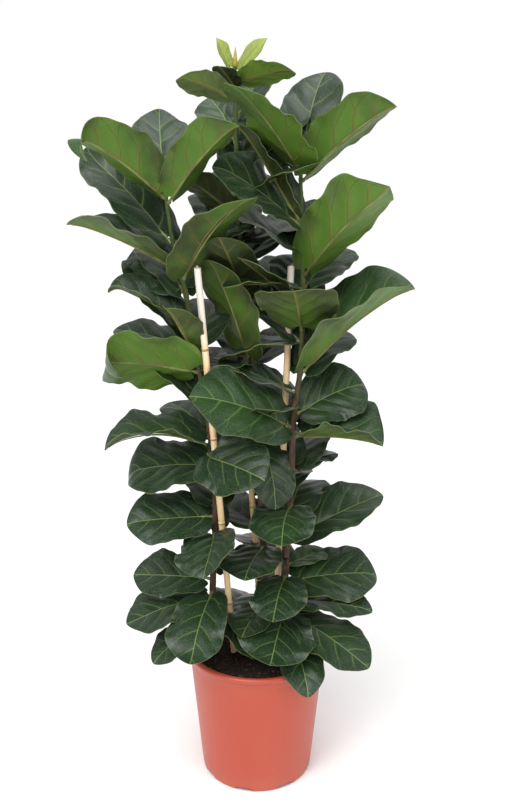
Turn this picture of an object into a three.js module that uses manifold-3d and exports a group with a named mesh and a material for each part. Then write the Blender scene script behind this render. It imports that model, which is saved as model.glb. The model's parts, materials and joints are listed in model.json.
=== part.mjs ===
// Potted fiddle leaf fig: three leafy stems tied to bamboo canes in a plastic grower's pot.
// Millimetres, +Z up. The origin is the middle of the pot's flat base; -Y is the plant's front.
import * as THREE from "three";
import { mergeVertices } from "three/addons/utils/BufferGeometryUtils.js";
import Module from "manifold-3d";

const wasm = await Module();
wasm.setup();
const { Manifold, Mesh } = wasm;

// Driving dimensions.
const POT_HEIGHT = 264;
const RIM_RADIUS = 135;
const BASE_RADIUS = 104;
const WALL = 2.5;
const FLOOR = 4;
const POT_SIDES = 56;
const LIP_HEIGHT = 11;
const LIP_OVERHANG = 8;
const DRAINS = 8;
const DRAIN_SIZE = [26, 30, 14];
const DRAIN_FROM = 256;
const SOIL_DROP = 24;
const FIT = 0.3;
const CANE_RADIUS = 6;
const CANE_FOOT = -120;
const STEM_FOOT = -50;
const STEM_RADIUS = 6.5;
const STEM_TIP_RADIUS = 3.2;
const PETIOLE_RADIUS = 2.2;
const STALK_GAP = 0.5;
const LEAF_THICKNESS = 1.3;
const KEEL = 1.8;

// Each stem is a list of points that it grows through, from below the soil to its tip.
const STEMS = {
  left: [[-84, -8, STEM_FOOT], [-82, -10, 140], [-76, -8, 260], [-75, -4, 360], [-84, -4, 455],
    [-108, -4, 610], [-122, -6, 705], [-138, -8, 772], [-151, -10, 872]],
  right: [[53, -6, STEM_FOOT], [53, -6, 195], [61, -5, 353], [64, -6, 476], [74, -4, 560],
    [77, 0, 718], [74, 4, 802], [70, 10, 912]],
  back: [[22, 31, STEM_FOOT], [19, 29, 91], [8, 34, 267], [0, 36, 453], [-14, 39, 611],
    [-30, 43, 778], [-34, 46, 896], [-36, 48, 993], [-37, 50, 1062]],
};

// Each cane is straight: where it stands at the soil's surface, and its upper end.
const CANES = {
  left: [[-43, -11, 0], [-99, -39, 750]],
  right: [[34, 17, 0], [57, 12, 741]],
  back: [[10, 44, 0], [-40, 62, 775]],
};

// Ties hold a stem to its cane at this height.
const TIES = { left: 240, right: 202 };

// Leaves, each where its stalk leaves the stem. Heading is seen from above, anticlockwise from +X;
// rise is the stalk's slope and arch the bend down from there to the tip. Roll turns the blade about
// its midrib and cup lifts both halves from the midrib. A stalk that has to go round a cane starts
// at heading plus swing and may be longer than usual.
// [name, stem, height, heading, rise, arch, length, width, roll, cup, swing, stalk]
const LEAVES = [
  ["left_01", "left", 860, 215, 45, 20, 202, 108, 35, 40],
  ["left_02", "left", 868, 97, 45, 20, 195, 110, 0, 10],
  ["left_03", "left", 852, 320, 52, 20, 205, 100, -30, 40],
  ["left_04", "left", 785, 150, 46, 15, 220, 125, -10, 10],
  ["left_05", "left", 740, 185, 35, 20, 195, 125, 0, 30],
  ["left_06", "left", 725, 312, 58, 30, 235, 115, 0, 10],
  ["left_07", "left", 700, 122, 25, 10, 160, 115, -20, 10],
  ["left_08", "left", 645, 180, 35, 15, 150, 80, -20, 45],
  ["left_09", "left", 595, 242, 55, 10, 130, 70, 0, 30],
  ["left_10", "left", 558, 196, 20, 20, 185, 160, 50, 10],
  ["left_11", "left", 422, 185, 30, 60, 192, 120, -5, 30],
  ["left_12", "left", 415, 322, 0, 8, 155, 120, 42, 10, -82, 45],
  ["left_13", "left", 385, 178, 0, 15, 160, 145, -20, 10],
  ["left_14", "left", 285, 185, 5, 15, 155, 115, -25, 10],
  ["left_15", "left", 255, 262, 5, 35, 125, 118, 18, 20],
  ["left_16", "left", 160, 170, 5, 15, 145, 105, -20, 10],
  ["left_17", "left", 125, 197, 0, 25, 160, 120, -10, 10],
  ["left_18", "left", 136, 258, -5, 35, 170, 105, 0, 10],
  ["left_19", "left", 78, 215, -5, 35, 135, 75, 0, 10],
  ["right_01", "right", 905, 225, 53, 20, 210, 140, 0, 10],
  ["right_02", "right", 908, 72, 55, 20, 205, 105, 0, 10],
  ["right_03", "right", 885, 325, 48, 20, 212, 112, -35, 45],
  ["right_04", "right", 822, 166, 60, 8, 186, 74, 0, 50],
  ["right_05", "right", 812, 192, 45, 18, 176, 130, -25, 15],
  ["right_06", "right", 730, 312, 52, 20, 240, 145, -40, 45],
  ["right_07", "right", 705, 58, 25, 10, 150, 110, 0, 10],
  ["right_08", "right", 665, 95, 35, 10, 150, 105, 0, 10],
  ["right_09", "right", 635, 260, 50, 20, 155, 140, 0, 10],
  ["right_10", "right", 560, 0, 52, 25, 238, 198, 0, 40],
  ["right_11", "right", 482, 20, 25, 15, 140, 120, 35, 10],
  ["right_12", "right", 460, 208, 32, 15, 210, 130, -50, 10],
  ["right_13", "right", 440, 345, 12, 25, 155, 162, 0, 38],
  ["right_14", "right", 306, 262, 8, 40, 122, 116, 0, 15],
  ["right_15", "right", 240, 18, 26, 14, 190, 125, 15, 20],
  ["right_16", "right", 166, 258, 0, 30, 120, 102, 0, 10],
  ["right_17", "right", 154, 5, 10, 15, 168, 125, 22, 10],
  ["right_18", "right", 118, 340, 10, 15, 160, 85, 0, 10],
  ["right_19", "right", 93, 258, -5, 20, 140, 130, 0, 10],
  ["right_20", "right", 90, 324, -5, 25, 185, 115, 0, 10],
  ["right_21", "right", 52, 285, 5, 50, 156, 80, 0, 10],
  ["back_01", "back", 1056, 180, 68, 5, 56, 24, -60, 30, 0, 16],
  ["back_02", "back", 1052, 0, 52, 5, 72, 28, 60, 30, 0, 18],
  ["back_03", "back", 1036, 330, 20, 15, 110, 76, -30, 10],
  ["back_04", "back", 1010, 215, 28, 15, 115, 70, 30, 10],
  ["back_05", "back", 940, 112, 35, 15, 135, 92, -10, 10],
  ["back_06", "back", 822, 194, 45, 15, 114, 76, 40, 15],
  ["back_07", "back", 800, 100, 30, 10, 170, 110, 0, 10],
  ["back_08", "back", 745, 40, 30, 10, 185, 120, 0, 10],
  ["back_09", "back", 575, 222, 72, 12, 205, 126, 0, 10],
  ["back_10", "back", 208, 256, 8, 15, 132, 108, 0, 10],
];

// Heights in the lists are above the soil's edge.
const SOIL_HEIGHT = POT_HEIGHT - SOIL_DROP;
const raised = ([x, y, height]) => new THREE.Vector3(x, y, SOIL_HEIGHT + height);

const radians = (degrees) => (degrees * Math.PI) / 180;

// A closed surface through rings of equal count, with one point at either end.
function loft(first, rings, last) {
  const count = rings[0].length;
  const points = [first, ...rings.flat(), last];
  const faces = [];
  const at = (ring, i) => 1 + ring * count + (i % count);
  for (let i = 0; i < count; i += 1) {
    faces.push(0, at(0, i + 1), at(0, i));
    faces.push(points.length - 1, at(rings.length - 1, i), at(rings.length - 1, i + 1));
    for (let ring = 0; ring + 1 < rings.length; ring += 1) {
      faces.push(at(ring, i), at(ring, i + 1), at(ring + 1, i + 1));
      faces.push(at(ring, i), at(ring + 1, i + 1), at(ring + 1, i));
    }
  }
  const geometry = new THREE.BufferGeometry();
  const flat = points.flatMap((point) => point.toArray());
  geometry.setAttribute("position", new THREE.Float32BufferAttribute(flat, 3));
  geometry.setIndex(faces);
  return geometry;
}

// A round ring about a centre, square to an axis.
function roundRing(centre, axis, radius, sides) {
  const turn = new THREE.Quaternion().setFromUnitVectors(new THREE.Vector3(0, 0, 1), axis);
  const ring = [];
  for (let i = 0; i < sides; i += 1) {
    const angle = (2 * Math.PI * i) / sides;
    const out = new THREE.Vector3(Math.cos(angle), Math.sin(angle), 0).multiplyScalar(radius);
    ring.push(out.applyQuaternion(turn).add(centre));
  }
  return ring;
}

// A tapering rod along a line of centres, with flat ends.
function rod(centres, radii, sides) {
  const rings = centres.map((centre, i) => {
    const before = centres[Math.max(i - 1, 0)];
    const after = centres[Math.min(i + 1, centres.length - 1)];
    const axis = after.clone().sub(before).normalize();
    return roundRing(centre, axis, radii[i], sides);
  });
  return loft(centres[0], rings, centres[centres.length - 1]);
}

// The centre line of a stem, evenly stepped, and its radius at each step.
function stemLine(name) {
  const steps = 22;
  const centres = new THREE.CatmullRomCurve3(STEMS[name].map(raised)).getSpacedPoints(steps);
  const radii = centres.map((_, i) => {
    const grown = (i / steps) ** 2;
    return STEM_RADIUS + (STEM_TIP_RADIUS - STEM_RADIUS) * grown;
  });
  return { centres, radii };
}

// The place and radius of a stem at a height.
function stemAt(line, height) {
  const { centres, radii } = line;
  const level = SOIL_HEIGHT + height;
  let i = 0;
  while (i + 2 < centres.length && centres[i + 1].z < level) i += 1;
  const share = (level - centres[i].z) / (centres[i + 1].z - centres[i].z);
  const centre = centres[i].clone().lerp(centres[i + 1], share);
  return { centre, radius: radii[i] + (radii[i + 1] - radii[i]) * share };
}

// The centre of a cane at a height.
function caneAt(name, height) {
  const [low, high] = CANES[name].map(raised);
  return low.clone().lerp(high, (SOIL_HEIGHT + height - low.z) / (high.z - low.z));
}

// A bamboo cane, a little thicker at each of its knots.
function cane(name) {
  const top = CANES[name][1][2];
  const foot = caneAt(name, CANE_FOOT);
  const tip = caneAt(name, top);
  const length = foot.distanceTo(tip);
  const knotStep = 165;
  const centres = [foot];
  const radii = [CANE_RADIUS];
  for (let along = 70; along < length - 20; along += knotStep) {
    for (const [shift, swell] of [[-5, 0], [0, 1.1], [5, 0]]) {
      centres.push(foot.clone().lerp(tip, (along + shift) / length));
      radii.push(CANE_RADIUS + swell);
    }
  }
  centres.push(tip);
  radii.push(CANE_RADIUS - 0.5);
  return rod(centres, radii, 10);
}

// Half the blade's width along it, as a share of the widest: a narrow heart-shaped base, a waist
// and a broad rounded end that comes to a short point.
const OUTLINE = [[0.02, 0.38], [0.13, 0.64], [0.34, 0.77], [0.56, 0.95], [0.76, 1], [0.91, 0.66]];
const LOBE = 0.06;

// A leaf: a round stalk that widens into a thin blade with a keel under its midrib.
function leaf(line, height, heading, rise, arch, length, width, roll, cup, swing = 0, long = 0) {
  const { centre, radius } = stemAt(line, height);
  const stalk = long || Math.min(28, length * 0.16);
  const blade = length - stalk;
  const step = 1;
  const start = radius + STALK_GAP + PETIOLE_RADIUS * Math.sin(radians(Math.abs(rise)));
  const spot = centre.clone();
  spot.x += start * Math.cos(radians(heading + swing));
  spot.y += start * Math.sin(radians(heading + swing));

  // The frame of the leaf at a distance along it: forward, to its left, and up from its face.
  const spots = [];
  for (let along = 0; along <= length; along += step) {
    const share = along / length;
    const yaw = radians(heading + swing * Math.max(0, 1 - along / stalk));
    const pitch = radians(rise - arch * share);
    const forward = new THREE.Vector3(
      Math.cos(pitch) * Math.cos(yaw), Math.cos(pitch) * Math.sin(yaw), Math.sin(pitch));
    const left = new THREE.Vector3(-Math.sin(yaw), Math.cos(yaw), 0);
    const turned = Math.min(along / stalk, 1) * roll;
    left.applyAxisAngle(forward, radians(turned));
    const up = forward.clone().cross(left);
    spots.push({ spot: spot.clone(), forward, left, up });
    spot.addScaledVector(forward, step);
  }
  const frameAt = (along) => spots[Math.min(Math.round(along / step), spots.length - 1)];

  const rings = [];
  for (const along of [0, stalk * 0.5, stalk * 0.92]) {
    const { spot: at, left, up } = frameAt(along);
    const ring = [];
    for (let i = 0; i < 8; i += 1) {
      const angle = Math.PI - (i * Math.PI) / 4;
      ring.push(at.clone()
        .addScaledVector(left, -PETIOLE_RADIUS * Math.cos(angle))
        .addScaledVector(up, PETIOLE_RADIUS * Math.sin(angle)));
    }
    rings.push(ring);
  }
  for (const [share, wide] of OUTLINE) {
    const { spot: at, forward, left, up } = frameAt(stalk + share * blade);
    const half = (wide * width) / 2;
    const back = -LOBE * blade * Math.max(0, 1 - share / 0.3);
    const thick = LEAF_THICKNESS / 2;
    const keel = KEEL * (1 - share);
    const lift = radians(cup);
    const droop = lift - radians(12);
    const midOut = 0.5 * half * Math.cos(lift);
    const midUp = 0.5 * half * Math.sin(lift);
    const edgeOut = midOut + 0.5 * half * Math.cos(droop);
    const edgeUp = midUp + 0.5 * half * Math.sin(droop);
    const place = (aside, above, behind) => at.clone()
      .addScaledVector(left, aside)
      .addScaledVector(up, above)
      .addScaledVector(forward, behind);
    rings.push([
      place(edgeOut, edgeUp, back),
      place(midOut, midUp + thick, back / 2),
      place(0, thick - 0.4, 0),
      place(-midOut, midUp + thick, back / 2),
      place(-edgeOut, edgeUp, back),
      place(-midOut, midUp - thick, back / 2),
      place(0, -thick - keel, 0),
      place(midOut, midUp - thick, back / 2),
    ]);
  }
  const tip = frameAt(length).spot;
  return loft(frameAt(0).spot, rings, tip);
}

// A tie looped round a stem and its cane.
function tie(name, line) {
  const height = TIES[name];
  const wire = 1.4;
  const stem = stemAt(line, height);
  const pole = caneAt(name, height);
  const slack = FIT + wire + 0.4;
  const axis = pole.clone().sub(stem.centre);
  const facing = Math.atan2(axis.y, axis.x);
  const ends = [
    { centre: pole, radius: CANE_RADIUS + slack, from: facing - Math.PI / 2 },
    { centre: stem.centre, radius: stem.radius + slack, from: facing + Math.PI / 2 },
  ];
  const path = [];
  for (const { centre, radius, from } of ends) {
    for (let i = 0; i <= 7; i += 1) {
      const angle = from + (i * Math.PI) / 7;
      path.push(new THREE.Vector3(
        centre.x + radius * Math.cos(angle), centre.y + radius * Math.sin(angle), pole.z));
    }
  }
  return closedLoop(path, wire, 6);
}

// A round wire along a closed path of points that lie level.
function closedLoop(path, radius, sides) {
  const points = [];
  const faces = [];
  path.forEach((point, i) => {
    const before = path[(i + path.length - 1) % path.length];
    const after = path[(i + 1) % path.length];
    const ahead = after.clone().sub(before).normalize();
    points.push(...roundRing(point, ahead, radius, sides));
  });
  for (let ring = 0; ring < path.length; ring += 1) {
    const next = (ring + 1) % path.length;
    for (let i = 0; i < sides; i += 1) {
      const a = ring * sides + i;
      const b = ring * sides + ((i + 1) % sides);
      const c = next * sides + ((i + 1) % sides);
      const d = next * sides + i;
      faces.push(a, b, c, a, c, d);
    }
  }
  const geometry = new THREE.BufferGeometry();
  const flat = points.flatMap((point) => point.toArray());
  geometry.setAttribute("position", new THREE.Float32BufferAttribute(flat, 3));
  geometry.setIndex(faces);
  return geometry;
}

// A solid turned about the vertical axis from an outline of [radius, height] points, which starts
// and ends on the axis.
function turned(outline) {
  const points = outline.map(([radius, height]) => new THREE.Vector2(radius, height));
  return toSolid(new THREE.LatheGeometry(points, POT_SIDES).rotateX(Math.PI / 2));
}

function fromSolid(solid) {
  const mesh = solid.getMesh();
  const geometry = new THREE.BufferGeometry();
  geometry.setAttribute("position", new THREE.Float32BufferAttribute(mesh.vertProperties, 3));
  geometry.setIndex(Array.from(mesh.triVerts));
  return geometry;
}

// A closed geometry as a solid, without the triangles that have no area at a turned shape's axis.
function toSolid(geometry) {
  geometry.deleteAttribute("normal");
  geometry.deleteAttribute("uv");
  const merged = mergeVertices(geometry);
  const corners = merged.getIndex().array;
  const faces = [];
  for (let i = 0; i < corners.length; i += 3) {
    const [a, b, c] = corners.slice(i, i + 3);
    if (a !== b && b !== c && c !== a) faces.push(a, b, c);
  }
  return new Manifold(new Mesh({
    numProp: 3,
    vertProperties: new Float32Array(merged.getAttribute("position").array),
    triVerts: new Uint32Array(faces),
  }));
}

// The outer radius of the pot's plain wall at a height.
const lipUnderside = POT_HEIGHT - LIP_HEIGHT;
const wallTop = RIM_RADIUS - LIP_OVERHANG;
const wallRadius = (height) => BASE_RADIUS + ((wallTop - BASE_RADIUS) * height) / lipUnderside;

function pot() {
  const corner = 6;
  const roll = LIP_HEIGHT / 2;
  const outline = [[0, 0], [BASE_RADIUS - corner, 0]];
  for (const angle of [30, 60, 90]) {
    outline.push([
      BASE_RADIUS - corner + corner * Math.sin(radians(angle)),
      corner - corner * Math.cos(radians(angle)),
    ]);
  }
  outline.push([wallRadius(lipUnderside - 14), lipUnderside - 14]);
  outline.push([wallRadius(lipUnderside - 13) + 1.2, lipUnderside - 13]);
  outline.push([wallTop + 1.2, lipUnderside]);
  outline.push([RIM_RADIUS - 1.5, lipUnderside]);
  for (const angle of [-35, 0, 35, 70]) {
    outline.push([
      RIM_RADIUS - roll + roll * Math.cos(radians(angle)),
      POT_HEIGHT - roll + roll * Math.sin(radians(angle)),
    ]);
  }
  outline.push([wallTop + 0.5, POT_HEIGHT]);
  outline.push([wallTop - WALL + 0.5, POT_HEIGHT - 3], [wallTop - WALL, lipUnderside]);
  outline.push([wallRadius(FLOOR) - WALL, FLOOR], [0, FLOOR]);
  let solid = turned(outline);
  for (let i = 0; i < DRAINS; i += 1) {
    const slot = new THREE.BoxGeometry(...DRAIN_SIZE)
      .translate(BASE_RADIUS + 2, 0, 0)
      .rotateZ(radians(DRAIN_FROM + (i * 360) / DRAINS));
    solid = solid.subtract(toSolid(slot));
  }
  return fromSolid(solid);
}

function soil(buried) {
  const inner = (height) => wallRadius(height) - WALL - FIT;
  const outline = [[0, FLOOR + FIT], [inner(FLOOR + FIT), FLOOR + FIT], [inner(SOIL_HEIGHT), SOIL_HEIGHT]];
  outline.push([inner(SOIL_HEIGHT) * 0.72, SOIL_HEIGHT + 6], [0, SOIL_HEIGHT + 8]);
  let solid = turned(outline);
  for (const hole of buried) solid = solid.subtract(toSolid(hole));
  return fromSolid(solid);
}

// Each hole in the soil is the buried rod with the clearance all round it.
function holeFor(centres, radii) {
  const low = centres[0].clone();
  low.z -= FIT;
  return rod([low, ...centres.slice(1)], radii.map((radius) => radius + FIT), 10);
}

const group = new THREE.Group();

function add(name, geometry, colour) {
  const material = new THREE.MeshStandardMaterial({ color: colour });
  const mesh = new THREE.Mesh(geometry, material);
  mesh.name = name;
  group.add(mesh);
}

const lines = {};
const holes = [];
for (const name of Object.keys(STEMS)) {
  lines[name] = stemLine(name);
  add(`stem_${name}`, rod(lines[name].centres, lines[name].radii, 10), 0x4a3324);
  holes.push(holeFor(lines[name].centres, lines[name].radii));
}
for (const name of Object.keys(CANES)) {
  add(`cane_${name}`, cane(name), 0xd8b888);
  const ends = [caneAt(name, CANE_FOOT), caneAt(name, 40)];
  holes.push(holeFor(ends, [CANE_RADIUS + 1.2, CANE_RADIUS + 1.2]));
}
for (const name of Object.keys(TIES)) add(`tie_${name}`, tie(name, lines[name]), 0x1c1c1c);
add("pot", pot(), 0xc8644c);
add("soil", soil(holes), 0x33241a);
for (const [name, stem, ...form] of LEAVES) {
  add(`leaf_${name}`, leaf(lines[stem], ...form), 0x46603c);
}

export default group;
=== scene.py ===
"""Looks of a potted fiddle leaf fig: leaves, stems, canes, ties, soil and pot around the CAD frame.

Metres, +Z up. The origin is the middle of the pot's flat base and -Y is the plant's front.
"""

import json
import logging
import math
import random
from collections.abc import Callable
from dataclasses import dataclass
from enum import Enum

import bmesh
import bpy
import numpy as np
from mathutils import Matrix, Vector, noise

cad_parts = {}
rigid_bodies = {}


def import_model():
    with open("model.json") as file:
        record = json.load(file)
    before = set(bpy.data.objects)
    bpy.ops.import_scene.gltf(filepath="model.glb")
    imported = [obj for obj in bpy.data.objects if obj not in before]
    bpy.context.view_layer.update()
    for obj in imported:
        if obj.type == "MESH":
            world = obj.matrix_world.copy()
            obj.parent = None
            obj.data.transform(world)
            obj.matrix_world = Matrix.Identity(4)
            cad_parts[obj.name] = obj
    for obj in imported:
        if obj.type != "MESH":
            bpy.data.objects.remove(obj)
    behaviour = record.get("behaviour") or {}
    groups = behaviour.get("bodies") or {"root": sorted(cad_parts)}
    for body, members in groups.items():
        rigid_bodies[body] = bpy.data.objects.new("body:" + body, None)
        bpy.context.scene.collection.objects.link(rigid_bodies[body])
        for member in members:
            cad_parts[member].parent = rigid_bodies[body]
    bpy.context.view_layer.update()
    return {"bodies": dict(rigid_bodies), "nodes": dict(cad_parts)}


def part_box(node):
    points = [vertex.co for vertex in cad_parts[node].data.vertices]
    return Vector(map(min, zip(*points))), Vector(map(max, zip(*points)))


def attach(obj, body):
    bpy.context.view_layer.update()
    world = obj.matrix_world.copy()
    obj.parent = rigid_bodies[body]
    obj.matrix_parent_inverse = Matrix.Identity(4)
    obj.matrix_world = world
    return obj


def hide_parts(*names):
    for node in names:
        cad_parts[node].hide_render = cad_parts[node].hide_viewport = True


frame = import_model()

log = logging.getLogger("fig")
Piece = bpy.types.Object
Socket = bpy.types.NodeSocket
BODY = "root"
MM = 0.001
SAME_POINT = 0.005 * MM


# ---------------------------------------------------------------- workbench


def pick(*pieces: Piece) -> None:
    """Selects these pieces alone and makes the first one active.

    Args:
        pieces: The objects that the next operators act on.
    """
    bpy.ops.object.select_all(action="DESELECT")
    for piece in pieces:
        piece.select_set(True)
    bpy.context.view_layer.objects.active = pieces[0]


def added(primitive: Callable, **settings: object) -> Piece:
    """Adds a primitive while nothing else is selected.

    Args:
        primitive: The operator that adds it.
        settings: The operator's settings.

    Returns:
        The new object.
    """
    pick(frame["bodies"][BODY])
    bpy.ops.object.select_all(action="DESELECT")
    primitive(**settings)
    return bpy.context.view_layer.objects.active


def linked(name: str, data: bpy.types.ID) -> Piece:
    """Puts a new object in the scene.

    Args:
        name: The object's name.
        data: Its mesh, curve, light or camera.

    Returns:
        The new object.
    """
    made = bpy.data.objects.new(name, data)
    bpy.context.scene.collection.objects.link(made)
    return made


def finish_with(piece: Piece, kind: str, **settings: object) -> None:
    """Adds a modifier to a piece, sets it and applies it.

    Args:
        piece: The object to work on.
        kind: The modifier's type.
        settings: Values for the modifier's properties.
    """
    pick(piece)
    modifier = piece.modifiers.new(kind.title(), kind)
    for name, value in settings.items():
        setattr(modifier, name, value)
    bpy.ops.object.modifier_apply(modifier=modifier.name)


def painted(piece: Piece, *finishes: "Finish") -> Piece:
    """Gives a piece these finishes in place of any that it has.

    Args:
        piece: The object to paint.
        finishes: Its finishes, in the order of its faces' material numbers.

    Returns:
        The same object.
    """
    piece.data.materials.clear()
    for finish in finishes:
        piece.data.materials.append(finish.material())
    return piece


def settled(piece: Piece, name: str, slot: str, hard: float, *nodes: str) -> Piece:
    """Shades a finished piece smooth, names it and ties it to the plant.

    Args:
        piece: The finished object, with its place in its mesh.
        name: The piece's name.
        slot: The record's material slot; not used.
        hard: The angle in degrees past which an edge stays hard.
        nodes: The CAD nodes that it stands for.

    Returns:
        The same object.
    """
    pick(piece)
    bpy.ops.object.shade_smooth_by_angle(angle=math.radians(hard))
    piece.name = name
    piece.data.name = name
    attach(piece, BODY)
    if nodes:
        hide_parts(*nodes)
    log.info("%s: %d faces", name, len(piece.data.polygons))
    return piece


def joined(*pieces: Piece) -> Piece:
    """Joins pieces into the first one.

    Args:
        pieces: The objects to join.

    Returns:
        The first object, which now holds all.
    """
    pick(*pieces)
    bpy.ops.object.join()
    return pieces[0]


def tube(path: np.ndarray, radii: np.ndarray, sides: int) -> Piece:
    """A closed round rod of changing thickness, drawn as a curve and made a mesh.

    Args:
        path: Points along its middle, one row each.
        radii: Its radius at each point.
        sides: Sides of its section.

    Returns:
        The new mesh object.
    """
    curve = bpy.data.curves.new("rod", "CURVE")
    curve.dimensions = "3D"
    curve.bevel_depth = 1.0
    curve.bevel_resolution = sides // 4 - 1
    curve.use_fill_caps = True
    spline = curve.splines.new("POLY")
    spline.points.add(len(path) - 1)
    spline.points.foreach_set("co", np.c_[path, np.ones(len(path))].astype(np.float32).ravel())
    spline.points.foreach_set("radius", np.asarray(radii, np.float32))
    pick(linked("rod", curve))
    bpy.ops.object.convert(target="MESH")
    return bpy.context.view_layer.objects.active


def raised(rings: list[tuple[float, float]], sides: int) -> Piece:
    """Raises a closed round shape ring by ring from a flat base.

    Args:
        rings: Radius and height of each ring, from the base on.
        sides: Sides of its round.

    Returns:
        The new object.
    """
    radius, height = rings[0]
    piece = added(bpy.ops.mesh.primitive_circle_add, vertices=sides, radius=radius,
                  fill_type="NGON", location=(0, 0, height))
    bpy.ops.object.transform_apply(location=True)
    bpy.ops.object.mode_set(mode="EDIT")
    bpy.ops.mesh.select_all(action="SELECT")
    for wide, high in rings[1:]:
        bpy.ops.mesh.extrude_region_move(TRANSFORM_OT_translate={"value": (0, 0, high - height)})
        bpy.ops.transform.resize(value=(wide / radius, wide / radius, 1))
        radius, height = wide, high
    bpy.ops.mesh.select_all(action="SELECT")
    bpy.ops.mesh.normals_make_consistent(inside=False)
    bpy.ops.object.mode_set(mode="OBJECT")
    return piece


def eased(at: np.ndarray, known: np.ndarray, values: np.ndarray) -> np.ndarray:
    """Values between known ones, along a smooth curve through them all.

    Args:
        at: Where values are wanted.
        known: Rising places with known values.
        values: The known values, one row each.

    Returns:
        One row for each place asked for.
    """
    values = np.asarray(values, float)
    slopes = np.gradient(values, known, axis=0)
    i = np.clip(np.searchsorted(known, at, side="right") - 1, 0, len(known) - 2)
    gap = known[i + 1] - known[i]
    t = (at - known[i]) / gap
    shape = np.shape(at) + (1,) * (values.ndim - 1)
    t, gap = t.reshape(shape), gap.reshape(shape)
    low, high = values[i], values[i + 1]
    rise, fall = slopes[i] * gap, slopes[i + 1] * gap
    return (
        (2 * t**3 - 3 * t**2 + 1) * low
        + (t**3 - 2 * t**2 + t) * rise
        + (3 * t**2 - 2 * t**3) * high
        + (t**3 - t**2) * fall
    )


def unit(rows: np.ndarray) -> np.ndarray:
    """Each row brought to a length of one."""
    return rows / np.linalg.norm(rows, axis=-1, keepdims=True)


def rings_of(node: str) -> list[np.ndarray]:
    """The rings of a CAD rod or leaf, from its foot to its tip.

    Args:
        node: The CAD node's name.

    Returns:
        One array of points for each ring, with the two end points as rings of one.
    """
    copy = bmesh.new()
    copy.from_mesh(frame["nodes"][node].data)
    bmesh.ops.remove_doubles(copy, verts=copy.verts, dist=SAME_POINT)
    poles = sorted(copy.verts, key=lambda v: (-len(v.link_edges), v.index))[:2]

    def spread(pole: bmesh.types.BMVert) -> float:
        """How wide the first ring next to an end point is, with the lower end first on a tie."""
        reach = sum(edge.calc_length() for edge in pole.link_edges)
        return round(reach, 3) if node.startswith("leaf") else pole.co.z

    levels = [[min(poles, key=spread)]]
    seen = set(levels[0])
    while levels[-1]:
        near = {edge.other_vert(v) for v in levels[-1] for edge in v.link_edges} - seen
        seen |= near
        levels.append(sorted(near, key=lambda v: v.index))
    rings = [np.array([v.co[:] for v in level]) for level in levels[:-1]]
    copy.free()
    return rings


# ------------------------------------------------------------------ finishes


class Graph:
    """The nodes of one material or group, added and joined in short lines."""

    def __init__(self, tree: bpy.types.NodeTree) -> None:
        """Starts from an emptied node tree.

        Args:
            tree: The tree to fill.
        """
        self.tree = tree
        tree.nodes.clear()

    def add(self, kind: str, inputs: dict | None = None, **settings: object) -> bpy.types.Node:
        """Adds a node.

        Args:
            kind: The node's type, without its ShaderNode prefix.
            inputs: A value or a socket for each input that is set, by name or number.
            settings: Values for the node's own properties.

        Returns:
            The new node.
        """
        node = self.tree.nodes.new("ShaderNode" + kind)
        for name, value in settings.items():
            setattr(node, name, value)
        for name, value in (inputs or {}).items():
            self.join(node.inputs[name], value)
        return node

    def join(self, socket: Socket, value: object) -> None:
        """Feeds an input from another socket, or sets it to a plain value.

        Args:
            socket: The input.
            value: A socket or a plain value.
        """
        if isinstance(value, Socket):
            self.tree.links.new(value, socket)
        else:
            socket.default_value = value

    def math(self, work: str, *terms: object) -> Socket:
        """A Math node's result on these terms."""
        return self.add("Math", dict(enumerate(terms)), operation=work).outputs[0]

    def times(self, first: object, second: object) -> Socket:
        """The product of two terms."""
        return self.math("MULTIPLY", first, second)

    def object_place(self) -> Socket:
        """Each point's place in its piece, in metres."""
        return self.add("TexCoord").outputs["Object"]

    def height(self) -> Socket:
        """Each point's height over the foot of the pot."""
        return self.add("SeparateXYZ", {0: self.object_place()}).outputs["Z"]

    def between(self, value: object, low: object, high: object, start: object = 0.0,
                end: object = 1.0) -> Socket:
        """A value eased from start to end as it goes from low to high, and held beyond them.

        Args:
            value: The value that goes from low to high.
            low: Where the result leaves start.
            high: Where the result reaches end.
            start: The result up to low.
            end: The result from high on.

        Returns:
            The result's socket.
        """
        places = {0: value, 1: low, 2: high, 3: start, 4: end}
        return self.add("MapRange", places, interpolation_type="SMOOTHSTEP").outputs[0]

    def mix(self, share: object, first: object, second: object) -> Socket:
        """Two colours mixed by a share."""
        node = self.add("Mix", {0: share, 6: first, 7: second}, data_type="RGBA")
        return node.outputs[2]

    def noise(self, scale: float, detail: float = 3.0, stretch: tuple = (1, 1, 1),
              rough: float = 0.5) -> Socket:
        """Noise from 0 to 1 on the piece's own place.

        Args:
            scale: Spots to a metre.
            detail: How many finer layers it has.
            stretch: How it is squeezed along each axis.
            rough: How strong the finer layers are.

        Returns:
            The noise's socket.
        """
        place = self.add("Mapping", {"Vector": self.object_place(), "Scale": stretch}).outputs[0]
        inputs = {"Vector": place, "Scale": scale, "Detail": detail, "Roughness": rough}
        return self.add("TexNoise", inputs).outputs["Fac"]


def colour(red: int, green: int, blue: int) -> tuple[float, float, float, float]:
    """A colour given in 0 to 255 display values, as the linear values that shaders take."""
    return tuple((c / 255) ** 2.2 for c in (red, green, blue)) + (1.0,)


def new_group(name: str, inputs: dict[str, float], outputs: list[str]) -> bpy.types.NodeTree:
    """An empty node group with float sockets.

    Args:
        name: The group's name.
        inputs: Each input's name and usual value.
        outputs: Each output's name.

    Returns:
        The group's tree.
    """
    tree = bpy.data.node_groups.new(name, "ShaderNodeTree")
    for socket, value in inputs.items():
        made = tree.interface.new_socket(socket, in_out="INPUT", socket_type="NodeSocketFloat")
        made.default_value = value
    for socket in outputs:
        tree.interface.new_socket(socket, in_out="OUTPUT", socket_type="NodeSocketFloat")
    return tree


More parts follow.
